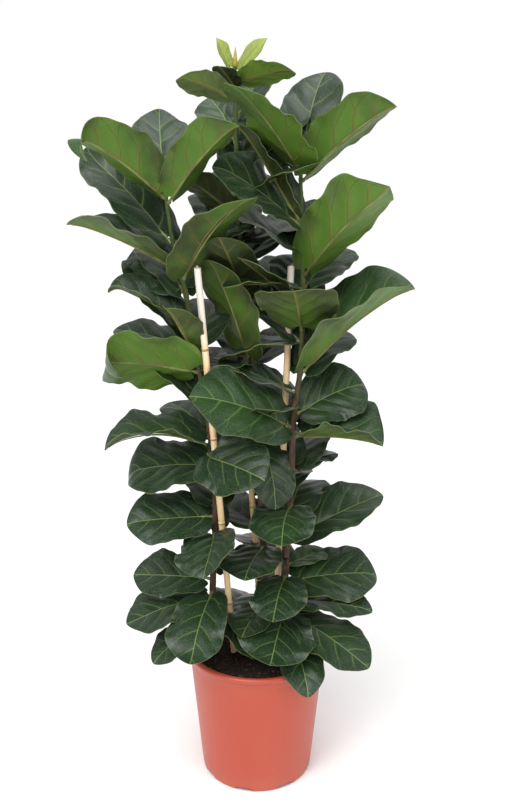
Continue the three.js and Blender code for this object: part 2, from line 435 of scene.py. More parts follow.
# How far across a half blade its side veins fork, and how strongly the finest veins show.
FORK_AT = 0.50
NET_SHOWS = 0.16


def vein_group() -> bpy.types.NodeTree:
    """The pattern of veins on a leaf, read from the leaf's two maps.

    Returns:
        A group whose outputs are masks from 0 to 1, with the place across the half and the leaf's
        tone, which is partly painted light.
    """
    tree = new_group("leaf_veins", {"Width": 1.0},
                     ["Midrib", "Side", "Halo", "Net", "Reach", "Tone"])
    g = Graph(tree)
    given = tree.nodes.new("NodeGroupInput").outputs["Width"]
    out = tree.nodes.new("NodeGroupOutput")
    veins = g.add("SeparateXYZ", {0: g.add("UVMap", uv_map="veins").outputs[0]}).outputs
    spread = g.add("SeparateXYZ", {0: g.add("UVMap", uv_map="spread").outputs[0]}).outputs
    across, order, reach, tone = veins[0], veins[1], spread[0], spread[1]
    wander = g.times(g.math("SUBTRACT", g.noise(26.0), 0.5), 0.22)
    order = g.math("ADD", order, wander)
    thin = g.times(given, g.between(reach, 0.0, 1.0, 0.024, 0.010))

    def line(places: object, width: object) -> Socket:
        """A line wherever the places pass a half.

        Args:
            places: Values that pass a half at each line.
            width: Half the line's width, in the same values.

        Returns:
            A mask that is 1 on the lines.
        """
        off = g.math("ABSOLUTE", g.math("SUBTRACT", g.math("FRACT", places), 0.5))
        return g.between(off, g.times(width, 0.3), width, 1.0, 0.0)

    main = g.times(line(order, thin), g.between(reach, FORK_AT, 0.66, 1.0, 0.0))
    past = g.math("MAXIMUM", g.math("SUBTRACT", reach, FORK_AT), 0.0)
    sides = [line(g.math("MULTIPLY_ADD", past, turn, order), g.times(thin, 0.8))
             for turn in (1.05, -1.05)]
    forks = g.times(g.math("MAXIMUM", *sides), g.between(reach, FORK_AT, 0.58, 0.0, 0.9))
    forks = g.times(forks, g.between(reach, 0.90, 0.99, 1.0, 0.0))
    rungs = line(g.math("MULTIPLY_ADD", reach, 6.5, g.times(g.noise(45.0), 3.0)), 0.06)
    rungs = g.times(rungs, g.between(reach, 0.08, 0.2, 0.0, 0.14))
    cells = g.add("TexVoronoi", {"Vector": g.object_place(), "Scale": 240.0},
                  feature="DISTANCE_TO_EDGE")

    results = {
        "Midrib": g.between(g.math("ABSOLUTE", across), g.times(given, 0.4 * MM),
                            g.times(given, 1.5 * MM), 1.0, 0.0),
        "Side": g.math("MAXIMUM", g.math("MAXIMUM", main, forks), rungs),
        "Halo": line(order, g.times(thin, 6.0)),
        "Net": g.between(cells.outputs["Distance"], 0.0, 0.12, 1.0, 0.0),
        "Reach": reach,
        "Tone": tone,
    }
    for name, socket in results.items():
        g.join(out.inputs[name], socket)
    return tree


def veins_in(g: Graph, width: float) -> dict[str, Socket]:
    """Places the vein pattern in a material.

    Args:
        g: The material's nodes.
        width: How wide the veins are, 1 being usual.

    Returns:
        The pattern's outputs by name.
    """
    node = g.tree.nodes.new("ShaderNodeGroup")
    node.node_tree = bpy.data.node_groups.get("leaf_veins") or vein_group()
    node.inputs["Width"].default_value = width
    return {socket.name: socket for socket in node.outputs}


@dataclass(frozen=True)
class Finish:
    """A finish with the sockets that most finishes share.

    Attributes:
        name: The material's name.
        rough: Roughness of the surface.
        coat: Weight of a clear gloss coat.
        shine: How strongly the surface reflects, a half being usual.
        bump: Depth of the fine relief, in metres.
    """

    name: str
    rough: float = 0.5
    coat: float = 0.0
    shine: float = 0.5
    bump: float = 0.0005

    def paint(self, g: Graph) -> dict[str, Socket]:
        """Makes the nodes for what changes over the surface.

        Args:
            g: The material's nodes.

        Returns:
            The sockets for Base Color, Roughness and Height.
        """
        raise NotImplementedError

    def material(self) -> bpy.types.Material:
        """The finish as a material, which is made once.

        Returns:
            The material.
        """
        found = bpy.data.materials.get(self.name)
        if found:
            return found
        made = bpy.data.materials.new(self.name)
        made.use_nodes = True
        g = Graph(made.node_tree)
        shader = g.add("BsdfPrincipled", {"Roughness": self.rough, "Coat Weight": self.coat,
                                          "Coat Roughness": 0.18, "Specular IOR Level": self.shine})
        fed = self.paint(g)
        height = fed.pop("Height", None)
        for name, socket in fed.items():
            g.join(shader.inputs[name], socket)
        if height is not None:
            bump = g.add("Bump", {"Height": height, "Distance": self.bump, "Strength": 1.0})
            g.join(shader.inputs["Normal"], bump.outputs[0])
        out = g.add("OutputMaterial")
        g.join(out.inputs["Surface"], shader.outputs[0])
        return made


@dataclass(frozen=True)
class LeafFace(Finish):
    """Waxy upper face of a leaf, or its duller underside.

    Attributes:
        old: Colour of an old leaf, at tone 0.
        fresh: Colour at tone 1: a new leaf's green, and painted light where a high tone paints a
            lit face.
        vein: Colour of the veins.
        edge: Colour of the margin.
        vein_width: How wide the veins are, 1 being usual.
        sunk: -1 where the veins lie sunk in the face, and 1 where they stand proud.
        gloss: How much the roughness changes over the face.
        patchy: How strongly the old and fresh colours cloud together.
    """

    old: tuple = (0, 0, 0, 1)
    fresh: tuple = (0, 0, 0, 1)
    vein: tuple = (0, 0, 0, 1)
    edge: tuple = (0, 0, 0, 1)
    vein_width: float = 1.0
    sunk: float = -1.0
    gloss: float = 0.12
    patchy: float = 0.9

    def paint(self, g: Graph) -> dict[str, Socket]:
        """Green by the leaf's tone, clouded and darker towards the margin, with paler veins, halos
        beside them and a thin pale margin; a high tone is partly painted light.

        Args:
            g: The material's nodes.

        Returns:
            The sockets for Base Color, Roughness and Height.
        """
        v = veins_in(g, self.vein_width)
        clouds = g.math("SUBTRACT", g.noise(14.0, 4.0), 0.5)
        # The tone in age is partly painted light: a high tone paints the brightness of a lit face.
        age = g.math("MULTIPLY_ADD", clouds, self.patchy, v["Tone"])
        age = g.math("MULTIPLY_ADD", g.between(v["Reach"], 0.2, 1.0), -0.3, age)
        base = g.mix(g.between(age, 0.0, 1.0), self.old, self.fresh)
        base = g.mix(g.times(v["Halo"], 0.55), base, g.mix(0.22, base, self.vein))
        net = g.times(v["Net"], NET_SHOWS)
        base = g.mix(net, base, self.vein)
        lines = g.math("MAXIMUM", g.times(v["Midrib"], 0.82), g.times(v["Side"], 0.78))
        base = g.mix(g.times(lines, 0.9), base, self.vein)
        base = g.mix(g.times(g.between(v["Reach"], 0.965, 0.99), 0.35), base, self.edge)
        rough = g.math("MULTIPLY_ADD", g.noise(60.0, 2.0), self.gloss, self.rough)
        ridge = g.times(g.math("MAXIMUM", lines, net), self.sunk)
        pores = g.times(g.noise(900.0, 2.0), 0.12)
        return {"Base Color": base, "Roughness": rough, "Height": g.math("ADD", ridge, pores)}


@dataclass(frozen=True)
class Mottled(Finish):
    """A surface of two colours, clouded together, with a fine grain.

    Attributes:
        first: The main colour.
        second: The colour of its patches.
        scale: Patches to a metre.
        grain: Grains to a metre.
        stretch: How the pattern is squeezed along each axis.
        balance: The share of noise at which the patches start.
    """

    first: tuple = (0, 0, 0, 1)
    second: tuple = (0, 0, 0, 1)
    scale: float = 60.0
    grain: float = 400.0
    stretch: tuple = (1, 1, 1)
    balance: float = 0.5

    def paint(self, g: Graph) -> dict[str, Socket]:
        """Clouds of the second colour over the first, with grain in the relief and roughness.

        Args:
            g: The material's nodes.

        Returns:
            The sockets for Base Color, Roughness and Height.
        """
        clouds = g.noise(self.scale, 5.0, self.stretch)
        cloud = g.between(clouds, self.balance - 0.18, self.balance + 0.18)
        grain = g.noise(self.grain, 4.0, self.stretch, 0.65)
        base = g.mix(cloud, self.first, self.second)
        base = g.mix(g.between(grain, 0.35, 0.7, 0.0, 0.3), base, self.second)
        rough = g.math("MULTIPLY_ADD", grain, 0.2, self.rough - 0.1)
        return {"Base Color": base, "Roughness": rough, "Height": g.math("ADD", grain, cloud)}


@dataclass(frozen=True)
class Turning(Mottled):
    """A mottled surface that turns to another colour with height.

    Attributes:
        other: The colour that it turns to.
        turns_from: Height at which it starts to turn.
        turns_to: Height at which it has turned.
        most: The most of it that the other colour covers.
        patches: Patches to a metre that turn sooner.
        patchy: How much lower those patches turn.
    """

    other: tuple = (1, 1, 1, 1)
    turns_from: float = 0.0
    turns_to: float = 1.0
    most: float = 0.8
    patches: float = 50.0
    patchy: float = 0.05

    def paint(self, g: Graph) -> dict[str, Socket]:
        """The mottled surface, mixed with the other colour by height.

        Args:
            g: The material's nodes.

        Returns:
            The sockets for Base Color, Roughness and Height.
        """
        fed = super().paint(g)
        level = g.math("MULTIPLY_ADD", g.noise(self.patches), self.patchy, g.height())
        share = g.times(g.between(level, self.turns_from, self.turns_to), self.most)
        fed["Base Color"] = g.mix(share, fed["Base Color"], self.other)
        return fed


@dataclass(frozen=True)
class Plastic(Finish):
    """Moulded plastic with a faint mottle, scuffs and dust near the foot.

    Attributes:
        body: Colour of the plastic.
        worn: Colour where it is scuffed or dusty.
        dust_to: Height up to which dust clings.
    """

    body: tuple = (0, 0, 0, 1)
    worn: tuple = (0, 0, 0, 1)
    dust_to: float = 0.05

    def paint(self, g: Graph) -> dict[str, Socket]:
        """The body colour with soft variation, scuffs and a pebbled skin.

        Args:
            g: The material's nodes.

        Returns:
            The sockets for Base Color, Roughness and Height.
        """
        dust = g.times(g.between(g.height(), 0.0, self.dust_to, 0.45, 0.0), g.noise(30.0, 5.0))
        scuffs = g.between(g.noise(55.0, 6.0, (1, 1, 0.25), 0.7), 0.62, 0.78, 0.0, 0.25)
        clouds = g.between(g.noise(7.0, 2.0), 0.3, 0.7, 0.0, 0.14)
        share = g.math("ADD", clouds, g.math("MAXIMUM", dust, scuffs))
        return {"Base Color": g.mix(share, self.body, self.worn),
                "Roughness": g.math("MULTIPLY_ADD", share, 0.35, self.rough),
                "Height": g.noise(1400.0, 1.0)}


LEAF_TOP = LeafFace("leaf_upper_face", rough=0.23, coat=0.1, shine=0.36, bump=0.0007,
                    old=colour(26, 46, 34), fresh=colour(46, 74, 38), vein=colour(122, 146, 84),
                    edge=colour(116, 128, 78), vein_width=0.95, gloss=0.22)
LEAF_UNDER = LeafFace("leaf_underside", rough=0.5, shine=0.35, bump=0.0016, patchy=2.2,
                      old=colour(56, 70, 40), fresh=colour(80, 116, 38), vein=colour(118, 106, 60),
                      edge=colour(116, 126, 70), vein_width=2.0, sunk=1.0, gloss=0.1)
YOUNG_TOP = LeafFace("young_leaf_upper_face", rough=0.38, bump=0.0004, old=colour(126, 144, 60),
                     fresh=colour(158, 174, 76), vein=colour(205, 215, 140),
                     edge=colour(190, 190, 110), vein_width=0.7)
YOUNG_UNDER = LeafFace("young_leaf_underside", rough=0.5, bump=0.0004, old=colour(136, 152, 72),
                       fresh=colour(162, 180, 86), vein=colour(210, 215, 150),
                       edge=colour(190, 175, 100), vein_width=0.8, sunk=1.0)
# Brighter finishes for the two top leaves: partly a younger green, partly painted light, the
# brightness of faces that catch the light.
FRESH_LIT_TOP = LeafFace("fresh_leaf_upper_face", rough=0.28, shine=0.4, bump=0.0006,
                     old=colour(64, 88, 50), fresh=colour(84, 116, 56), vein=colour(140, 160, 96),
                     edge=colour(130, 140, 84), vein_width=0.9, gloss=0.2)
FRESH_LIT_UNDER = LeafFace("fresh_leaf_underside", rough=0.55, shine=0.35, bump=0.0008, patchy=1.4,
                       old=colour(108, 128, 78), fresh=colour(128, 164, 62),
                       vein=colour(168, 160, 98), edge=colour(140, 150, 86), sunk=1.0, gloss=0.1)
MARGIN = Mottled("leaf_margin", rough=0.5, bump=0.0001, first=colour(84, 104, 56),
                 second=colour(106, 120, 70), scale=80)
STALK = Mottled("leaf_stalk", rough=0.45, bump=0.0003, first=colour(120, 138, 70),
                second=colour(98, 92, 52), scale=35, grain=500)
BARK = Turning("stem_bark", rough=0.75, bump=0.0012, first=colour(62, 40, 32),
               second=colour(98, 76, 58), scale=70, grain=350, stretch=(1, 1, 0.4), balance=0.56,
               other=colour(74, 96, 48), turns_from=0.77, turns_to=1.17, most=0.85, patches=40,
               patchy=0.3)
BUD = Mottled("red_bud", rough=0.5, bump=0.0004, first=colour(96, 44, 44),
              second=colour(128, 88, 52), scale=120)
SHEATH = Mottled("tip_sheath", rough=0.45, bump=0.0004, first=colour(206, 198, 84),
                 second=colour(172, 148, 60), scale=90, stretch=(1, 1, 0.3))
# The cane turns near white from 0.84 m to 0.94 m up: a painted highlight, the bright light on the
# canes' upper ends.
BAMBOO = Turning("bamboo", rough=0.42, bump=0.0003, first=colour(246, 214, 168),
                 second=colour(214, 174, 122), scale=45, grain=700, stretch=(1, 1, 0.06),
                 balance=0.58, other=colour(250, 243, 234), turns_from=0.84, turns_to=0.94)
KNOT = Mottled("bamboo_knot", rough=0.6, bump=0.0005, first=colour(150, 108, 66),
               second=colour(196, 156, 106), scale=150)
PEAT = Mottled("peat", rough=0.95, bump=0.003, first=colour(34, 22, 18), second=colour(74, 52, 40),
               scale=160, grain=600, balance=0.6)
CRUMB = Mottled("peat_crumb", rough=0.95, bump=0.001, first=colour(48, 32, 25),
                second=colour(104, 80, 60), scale=60, grain=500, balance=0.58)
POT_SKIN = Plastic("pot_plastic", rough=0.36, bump=0.00006, body=colour(175, 70, 48),
                   worn=colour(190, 106, 88))
WIRE = Mottled("tie_wire", rough=0.55, bump=0.0002, first=colour(20, 20, 21),
               second=colour(44, 44, 46), scale=200)
PAPER = Mottled("studio_floor", rough=0.9, bump=0.0, first=colour(255, 255, 255),
                second=colour(253, 253, 253), scale=2, grain=20)


# -------------------------------------------------------------------- stems


@dataclass
class Rod:
    """The middle line of a stem or a cane, from its foot up.

    Attributes:
        centres: Points along it.
        radii: Its radius at each point.
    """

    centres: np.ndarray
    radii: np.ndarray

    @classmethod
    def of(cls, node: str) -> "Rod":
        """Reads a rod from its CAD node's rings.

        Args:
            node: The CAD node's name.

        Returns:
            The rod, without the flat ends' middle points.
        """
        rings = rings_of(node)[1:-1]
        centres = np.array([ring.mean(0) for ring in rings])
        radii = np.array([np.linalg.norm(r - c, axis=1).mean() for r, c in zip(rings, centres)])
        return cls(centres, radii)

    def at(self, height: float) -> tuple[np.ndarray, float]:
        """The centre and radius at a height.

        Args:
            height: The height.

        Returns:
            The centre, and the radius there.
        """
        levels = self.centres[:, 2]
        centre = [np.interp(height, levels, self.centres[:, axis]) for axis in range(3)]
        return np.array(centre), float(np.interp(height, levels, self.radii))

    def finer(self, step: float) -> "Rod":
        """The same rod with points evenly spaced along it.

        Args:
            step: About how far apart they are.

        Returns:
            The new rod.
        """
        gaps = np.linalg.norm(np.diff(self.centres, axis=0), axis=1)
        along = np.r_[0, np.cumsum(gaps)]
        at = np.linspace(0, along[-1], int(along[-1] / step) + 2)
        return Rod(eased(at, along, self.centres), np.interp(at, along, self.radii))


@dataclass
class Stem:
    """A woody stem with rough bark, ringed where leaves have dropped.

    Attributes:
        name: Which stem it is.
        step: Distance between the points of its skin.
        scar_gap: Usual distance between leaf scars.
        scar_swell: How far a scar stands out.
        ridge_gap: Distance between the bark's ridges.
        ridge_rise: How far the bark rises and falls.
        sides: Sides of its section.
    """

    name: str
    step: float = 4 * MM
    scar_gap: float = 26 * MM
    scar_swell: float = 0.7 * MM
    ridge_gap: float = 9 * MM
    ridge_rise: float = 1.4 * MM
    sides: int = 16

    def __post_init__(self) -> None:
        """Reads the stem's line from the frame."""
        self.node = f"stem_{self.name}"
        self.rod = Rod.of(self.node)

    def build(self) -> Piece:
        """Makes the stem.

        Returns:
            The finished piece.
        """
        seeded = random.Random(self.node)
        rod = self.rod.finer(self.step)
        radii = rod.radii.copy()
        height = rod.centres[0, 2]
        while height < rod.centres[-1, 2]:
            near = (rod.centres[:, 2] - height) / (1.6 * self.step)
            radii += self.scar_swell * seeded.uniform(0.5, 1.0) * np.exp(-near**2)
            height += self.scar_gap * seeded.uniform(0.6, 1.3)
        piece = tube(rod.centres, radii, self.sides)
        finish_with(piece, "SUBSURF", levels=1, render_levels=1)
        clouds = bpy.data.textures.new("bark", "CLOUDS")
        clouds.noise_scale = self.ridge_gap
        finish_with(piece, "DISPLACE", texture=clouds, strength=self.ridge_rise, mid_level=0.5,
                    texture_coords="LOCAL")
        return settled(painted(piece, BARK), f"{self.node}_bark", "stem", 60, self.node)


@dataclass
class Cane:
    """A bamboo cane with knots, cut flat and hollow at its top.

    Attributes:
        name: Which cane it is.
        sides: Sides of its section.
        step: Distance between the points of its skin.
        knot_rise: How much thicker than the plain cane a CAD knot at least is.
        knot_reach: How far a knot's dark band reaches along the cane.
        bore_share: Radius of the hollow, as a share of the cane's.
        bore_depth: Depth of the hollow.
    """

    name: str
    sides: int = 24
    step: float = 1.5 * MM
    knot_rise: float = 0.9 * MM
    knot_reach: float = 2.2 * MM
    bore_share: float = 0.5
    bore_depth: float = 12 * MM

    def build(self) -> Piece:
        """Makes the cane.

        Returns:
            The finished piece.
        """
        node = f"cane_{self.name}"
        rod = Rod.of(node)
        foot, tip = rod.centres[0], rod.centres[-1]
        length = float(np.linalg.norm(tip - foot))
        axis = (tip - foot) / length
        plain = rod.radii.min()
        thick = rod.radii > plain + self.knot_rise
        knots = [float((centre - foot) @ axis) for centre in rod.centres[thick]]
        along = np.linspace(0, length, int(length / self.step))
        radii = np.full(len(along), plain + 0.3 * MM)
        for knot in knots:
            off = (along - knot) / MM
            ridge, dip = np.exp(-((off / 1.6) ** 2)), np.exp(-(((off - 5) / 2.5) ** 2))
            radii += MM * (ridge - 0.35 * dip)
        bore = plain * self.bore_share
        path = foot + along[:, None] * axis
        mouth = np.array([tip, tip - axis * self.bore_depth])
        piece = tube(np.vstack([path, mouth]), np.r_[radii, bore, bore * 0.9], self.sides)
        painted(piece, BAMBOO, KNOT)
        for face in piece.data.polygons:
            level = float((np.array(face.center) - foot) @ axis)
            banded = any(-self.knot_reach < level - knot < self.knot_reach * 0.6 for knot in knots)
            if banded or level > length - 0.5 * MM:
                face.material_index = 1
        return settled(piece, f"{node}_bamboo", "cane", 40, node)


@dataclass
class Tie:
    """A soft wire tie round a stem and its cane, with its two ends twisted together.

    Attributes:
        name: Which stem it ties.
        wire: Radius of the wire.
        slack: Gap between the wire and what it ties.
        twists: Turns of its two ends about each other.
        tail: How far the twisted ends stand out.
    """

    name: str
    wire: float = 1.3 * MM
    slack: float = 0.7 * MM
    twists: int = 3
    tail: float = 9 * MM

    def build(self, stem: Rod, cane: Rod) -> Piece:
        """Makes the tie where its CAD node lies.

        Args:
            stem: The stem's line.
            cane: The cane's line.

        Returns:
            The finished piece.
        """
        node = f"tie_{self.name}"
        low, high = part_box(node)
        level = (low.z + high.z) / 2
        ends = [cane.at(level), stem.at(level)]
        facing = math.atan2(*(ends[0][0] - ends[1][0])[1::-1])
        loop = []
        for (centre, radius), turn in zip(ends, (-math.pi / 2, math.pi / 2)):
            for angle in np.linspace(facing + turn, facing + turn + math.pi, 14):
                reach = radius + (self.wire + self.slack)
                rise = 0.6 * MM * math.sin(3 * angle)
                loop.append([centre[0] + reach * math.cos(angle),
                             centre[1] + reach * math.sin(angle), level + rise])
        loop.append(loop[0])
        piece = tube(np.array(loop), np.full(len(loop), self.wire), 10)
        front = min(loop, key=lambda point: point[1])
        tails = []
        for side in (0.0, math.pi):
            turns = np.linspace(0, 1, 26)
            twist = self.twists * 2 * math.pi * turns + side
            spread = self.wire * (1 + 25 * np.maximum(turns - 0.7, 0) ** 2)
            path = np.c_[front[0] + spread * np.cos(twist), front[1] - 2 * MM - self.tail * turns,
                         level + spread * np.sin(twist) - 6 * MM * turns**2]
            tails.append(tube(path, np.full(len(path), self.wire * 0.8), 8))
        return settled(painted(joined(piece, *tails), WIRE), f"{node}_wire", "tie", 50, node)


# ------------------------------------------------------------------- leaves


class Age(Enum):
    """How grown a leaf is: the finishes of its two faces and its material slot. The brighter
    finishes of the two top leaves are also painted light.
    """

    YOUNG = (YOUNG_TOP, YOUNG_UNDER, "young_leaf")
    FRESH = (FRESH_LIT_TOP, FRESH_LIT_UNDER, "leaf")
    GROWN = (LEAF_TOP, LEAF_UNDER, "leaf")


# A blade's outline: places along it and its half width there, and where it starts to round off.
OUTLINE_AT = np.array([0, 0.02, 0.07, 0.13, 0.22, 0.34, 0.46, 0.58, 0.70, 0.85, 1.0])
OUTLINE_WIDE = np.array([0.33, 0.48, 0.67, 0.77, 0.85, 0.92, 0.98, 1.0, 0.99, 0.95, 0.88])
SHOULDER = 0.62
# Where the rings of a CAD blade lie along it, which of them is the widest, the first of a leaf's
# rings that is the blade's, and how far under the upper face the blade's middle is.
CAD_SHARES = np.array([0.02, 0.13, 0.34, 0.56, 0.76, 0.91])
WIDEST = 4
BLADE_RING = 4
UNDER_FACE = 0.25 * MM
# How far each half bends down towards its margin, how far the base lobes reach back as a share of
# the blade, and how much of the stalk a blade takes up.
DROOP = math.radians(12)
LOBE = 0.15
BLADE_BACK = 0.55
# Where the end of a curled blade starts to roll, and how far its side veins are apart from those
# of the other half, as a share of the gap between two.
CURL_FROM = 0.8
VEIN_SHIFT = 0.14
# The width of a blade that has the relief below, which grows with the blade.
USUAL_WIDTH = 0.12
SWAY = 5 * MM
PUFF = 1.2 * MM
FURROW = 1.1 * MM
LUMP = 7.0 * MM


def outline(share: np.ndarray, point: float = 0.66) -> np.ndarray:
    """Half the blade's width along it as a share of the widest, from its lobed base to its tip.

    Args:
        share: Places along the blade, from 0 to 1.
        point: How pointed the end is, a half being a round end.

    Returns:
        The half width at each place.
    """
    past = np.clip((share - SHOULDER) / (1 - SHOULDER), 0, 1)
    return eased(share, OUTLINE_AT, OUTLINE_WIDE) * (1 - past**2) ** point


@dataclass
class Spine:
    """The middle line of a leaf and how it lies.

    Attributes:
        stalk: Points along the stalk, from the stem to the blade.
        shares: How far along the blade each point below is, from 0 to 1.
        centres: Points along the blade's middle.
        lefts: The direction to the leaf's left at each point.
        ups: The direction out of the upper face at each point.
        length: The blade's length.
        width: The blade's widest.
        cup: How far both halves are lifted, in radians.
    """

    stalk: np.ndarray
    shares: np.ndarray
    centres: np.ndarray
    lefts: np.ndarray
    ups: np.ndarray
    length: float
    width: float
    cup: float

    @classmethod
    def of(cls, node: str) -> "Spine":
        """Reads a leaf from its CAD node's rings.

        Args:
            node: The CAD node's name.

        Returns:
            The leaf's spine.
        """
        levels = rings_of(node)
        blades = levels[BLADE_RING:-1]
        tip = levels[-1][0]
        rows = []
        for i, ring in enumerate(blades):
            apart = np.linalg.norm(ring[:, None] - ring[None], axis=2)
            one, other = np.unravel_index(apart.argmax(), apart.shape)
            middle = np.abs(apart[:, one] - apart[:, other]).argsort()[:2]
            between = (ring[one] + ring[other]) / 2
            top, keel = sorted(middle, key=lambda k: np.linalg.norm(ring[k] - between))
            up = unit(ring[top] - ring[keel])
            left = unit(ring[one] - ring[other])
            ahead = (blades[i + 1].mean(0) if i + 1 < len(blades) else tip) - ring.mean(0)
            if np.cross(left, up) @ ahead < 0:
                left, one, other = -left, other, one
            rows.append((ring[top] - up * UNDER_FACE, left, up, ring[one]))
        centres = np.array([row[0] for row in rows])
        lefts = np.array([row[1] for row in rows])
        ups = np.array([row[2] for row in rows])
        reach = rows[WIDEST][3] - centres[WIDEST]
        aside, above = reach @ lefts[WIDEST], reach @ ups[WIDEST]
        gaps = np.linalg.norm(np.diff(np.vstack([centres, tip]), axis=0), axis=1)
        length = gaps.sum() / (1 - CAD_SHARES[0])
        ahead = unit(np.cross(lefts[0], ups[0]))
        base = centres[0] - ahead * length * CAD_SHARES[0]
        bends = [ring.mean(0) for ring in levels[2:BLADE_RING]]
        stalk = np.array([levels[0][0], *bends, base])
        return cls(
            stalk,
            np.r_[0, CAD_SHARES, 1],
            np.vstack([base, centres, tip]),
            np.vstack([lefts[0], lefts, lefts[-1]]),
            np.vstack([ups[0], ups, ups[-1]]),
            length,
            2 * math.hypot(aside, above) / math.cos(DROOP / 2),
            math.atan2(above, aside) + DROOP / 2,
        )

    @classmethod
    def grown(cls, start: np.ndarray, heading: float, rise: float, arch: float, length: float,
              width: float, roll: float, cup: float) -> "Spine":
        """Grows a leaf from a stem, as the CAD's leaves are grown.

        Args:
            start: Where the stalk leaves the stem.
            heading: Its direction from above, in degrees anticlockwise from +X.
            rise: Slope of the stalk in degrees.
            arch: How far the leaf bends down from there to its tip, in degrees.
            length: Length of stalk and blade.
            width: Width of the blade.
            roll: Turn about the midrib in degrees, with the left margin lifted.
            cup: Lift of both halves in degrees.

        Returns:
            The leaf's spine.
        """
        stalk = min(28 * MM, length * 0.16)
        steps = 120
        spot = np.array(start, float)
        yaw = math.radians(heading)
        spots, lefts, ups = [], [], []
        for i in range(steps + 1):
            pitch = math.radians(rise - arch * i / steps)
            ahead = Vector((math.cos(pitch) * math.cos(yaw), math.cos(pitch) * math.sin(yaw),
                            math.sin(pitch)))
            left = Vector((-math.sin(yaw), math.cos(yaw), 0))
            turn = math.radians(roll) * min(i / steps * length / stalk, 1)
            left.rotate(Matrix.Rotation(turn, 3, ahead))
            spots.append(spot.copy())
            lefts.append(left[:])
            ups.append(ahead.cross(left)[:])
            spot += np.array(ahead) * length / steps
        first = round(steps * stalk / length)
        places = [first + round(share * (steps - first)) for share in (0, *CAD_SHARES, 1)]
        spots, lefts, ups = np.array(spots), np.array(lefts), np.array(ups)
        return cls(spots[[0, first // 2, first]], np.r_[0, CAD_SHARES, 1], spots[places],
                   lefts[places], ups[places], length - stalk, width, math.radians(cup))

    def reaching_back(self, share: float) -> "Spine":
        """The same leaf with its blade begun further down the stalk, close to the stem.

        Args:
            share: How much of the stalk the blade takes up.

        Returns:
            The new spine.
        """
        gaps = np.linalg.norm(np.diff(self.stalk, axis=0), axis=1)
        known = np.r_[0, np.cumsum(gaps)]
        added = known[-1] * share
        foot = eased(np.linspace(0, known[-1] - added, 4), known, self.stalk)
        length = self.length + added
        shares = np.r_[0, (self.shares * self.length + added) / length]
        return Spine(foot, shares, np.vstack([foot[-1], self.centres]),
                     np.vstack([self.lefts[0], self.lefts]), np.vstack([self.ups[0], self.ups]),
                     length, self.width, self.cup)


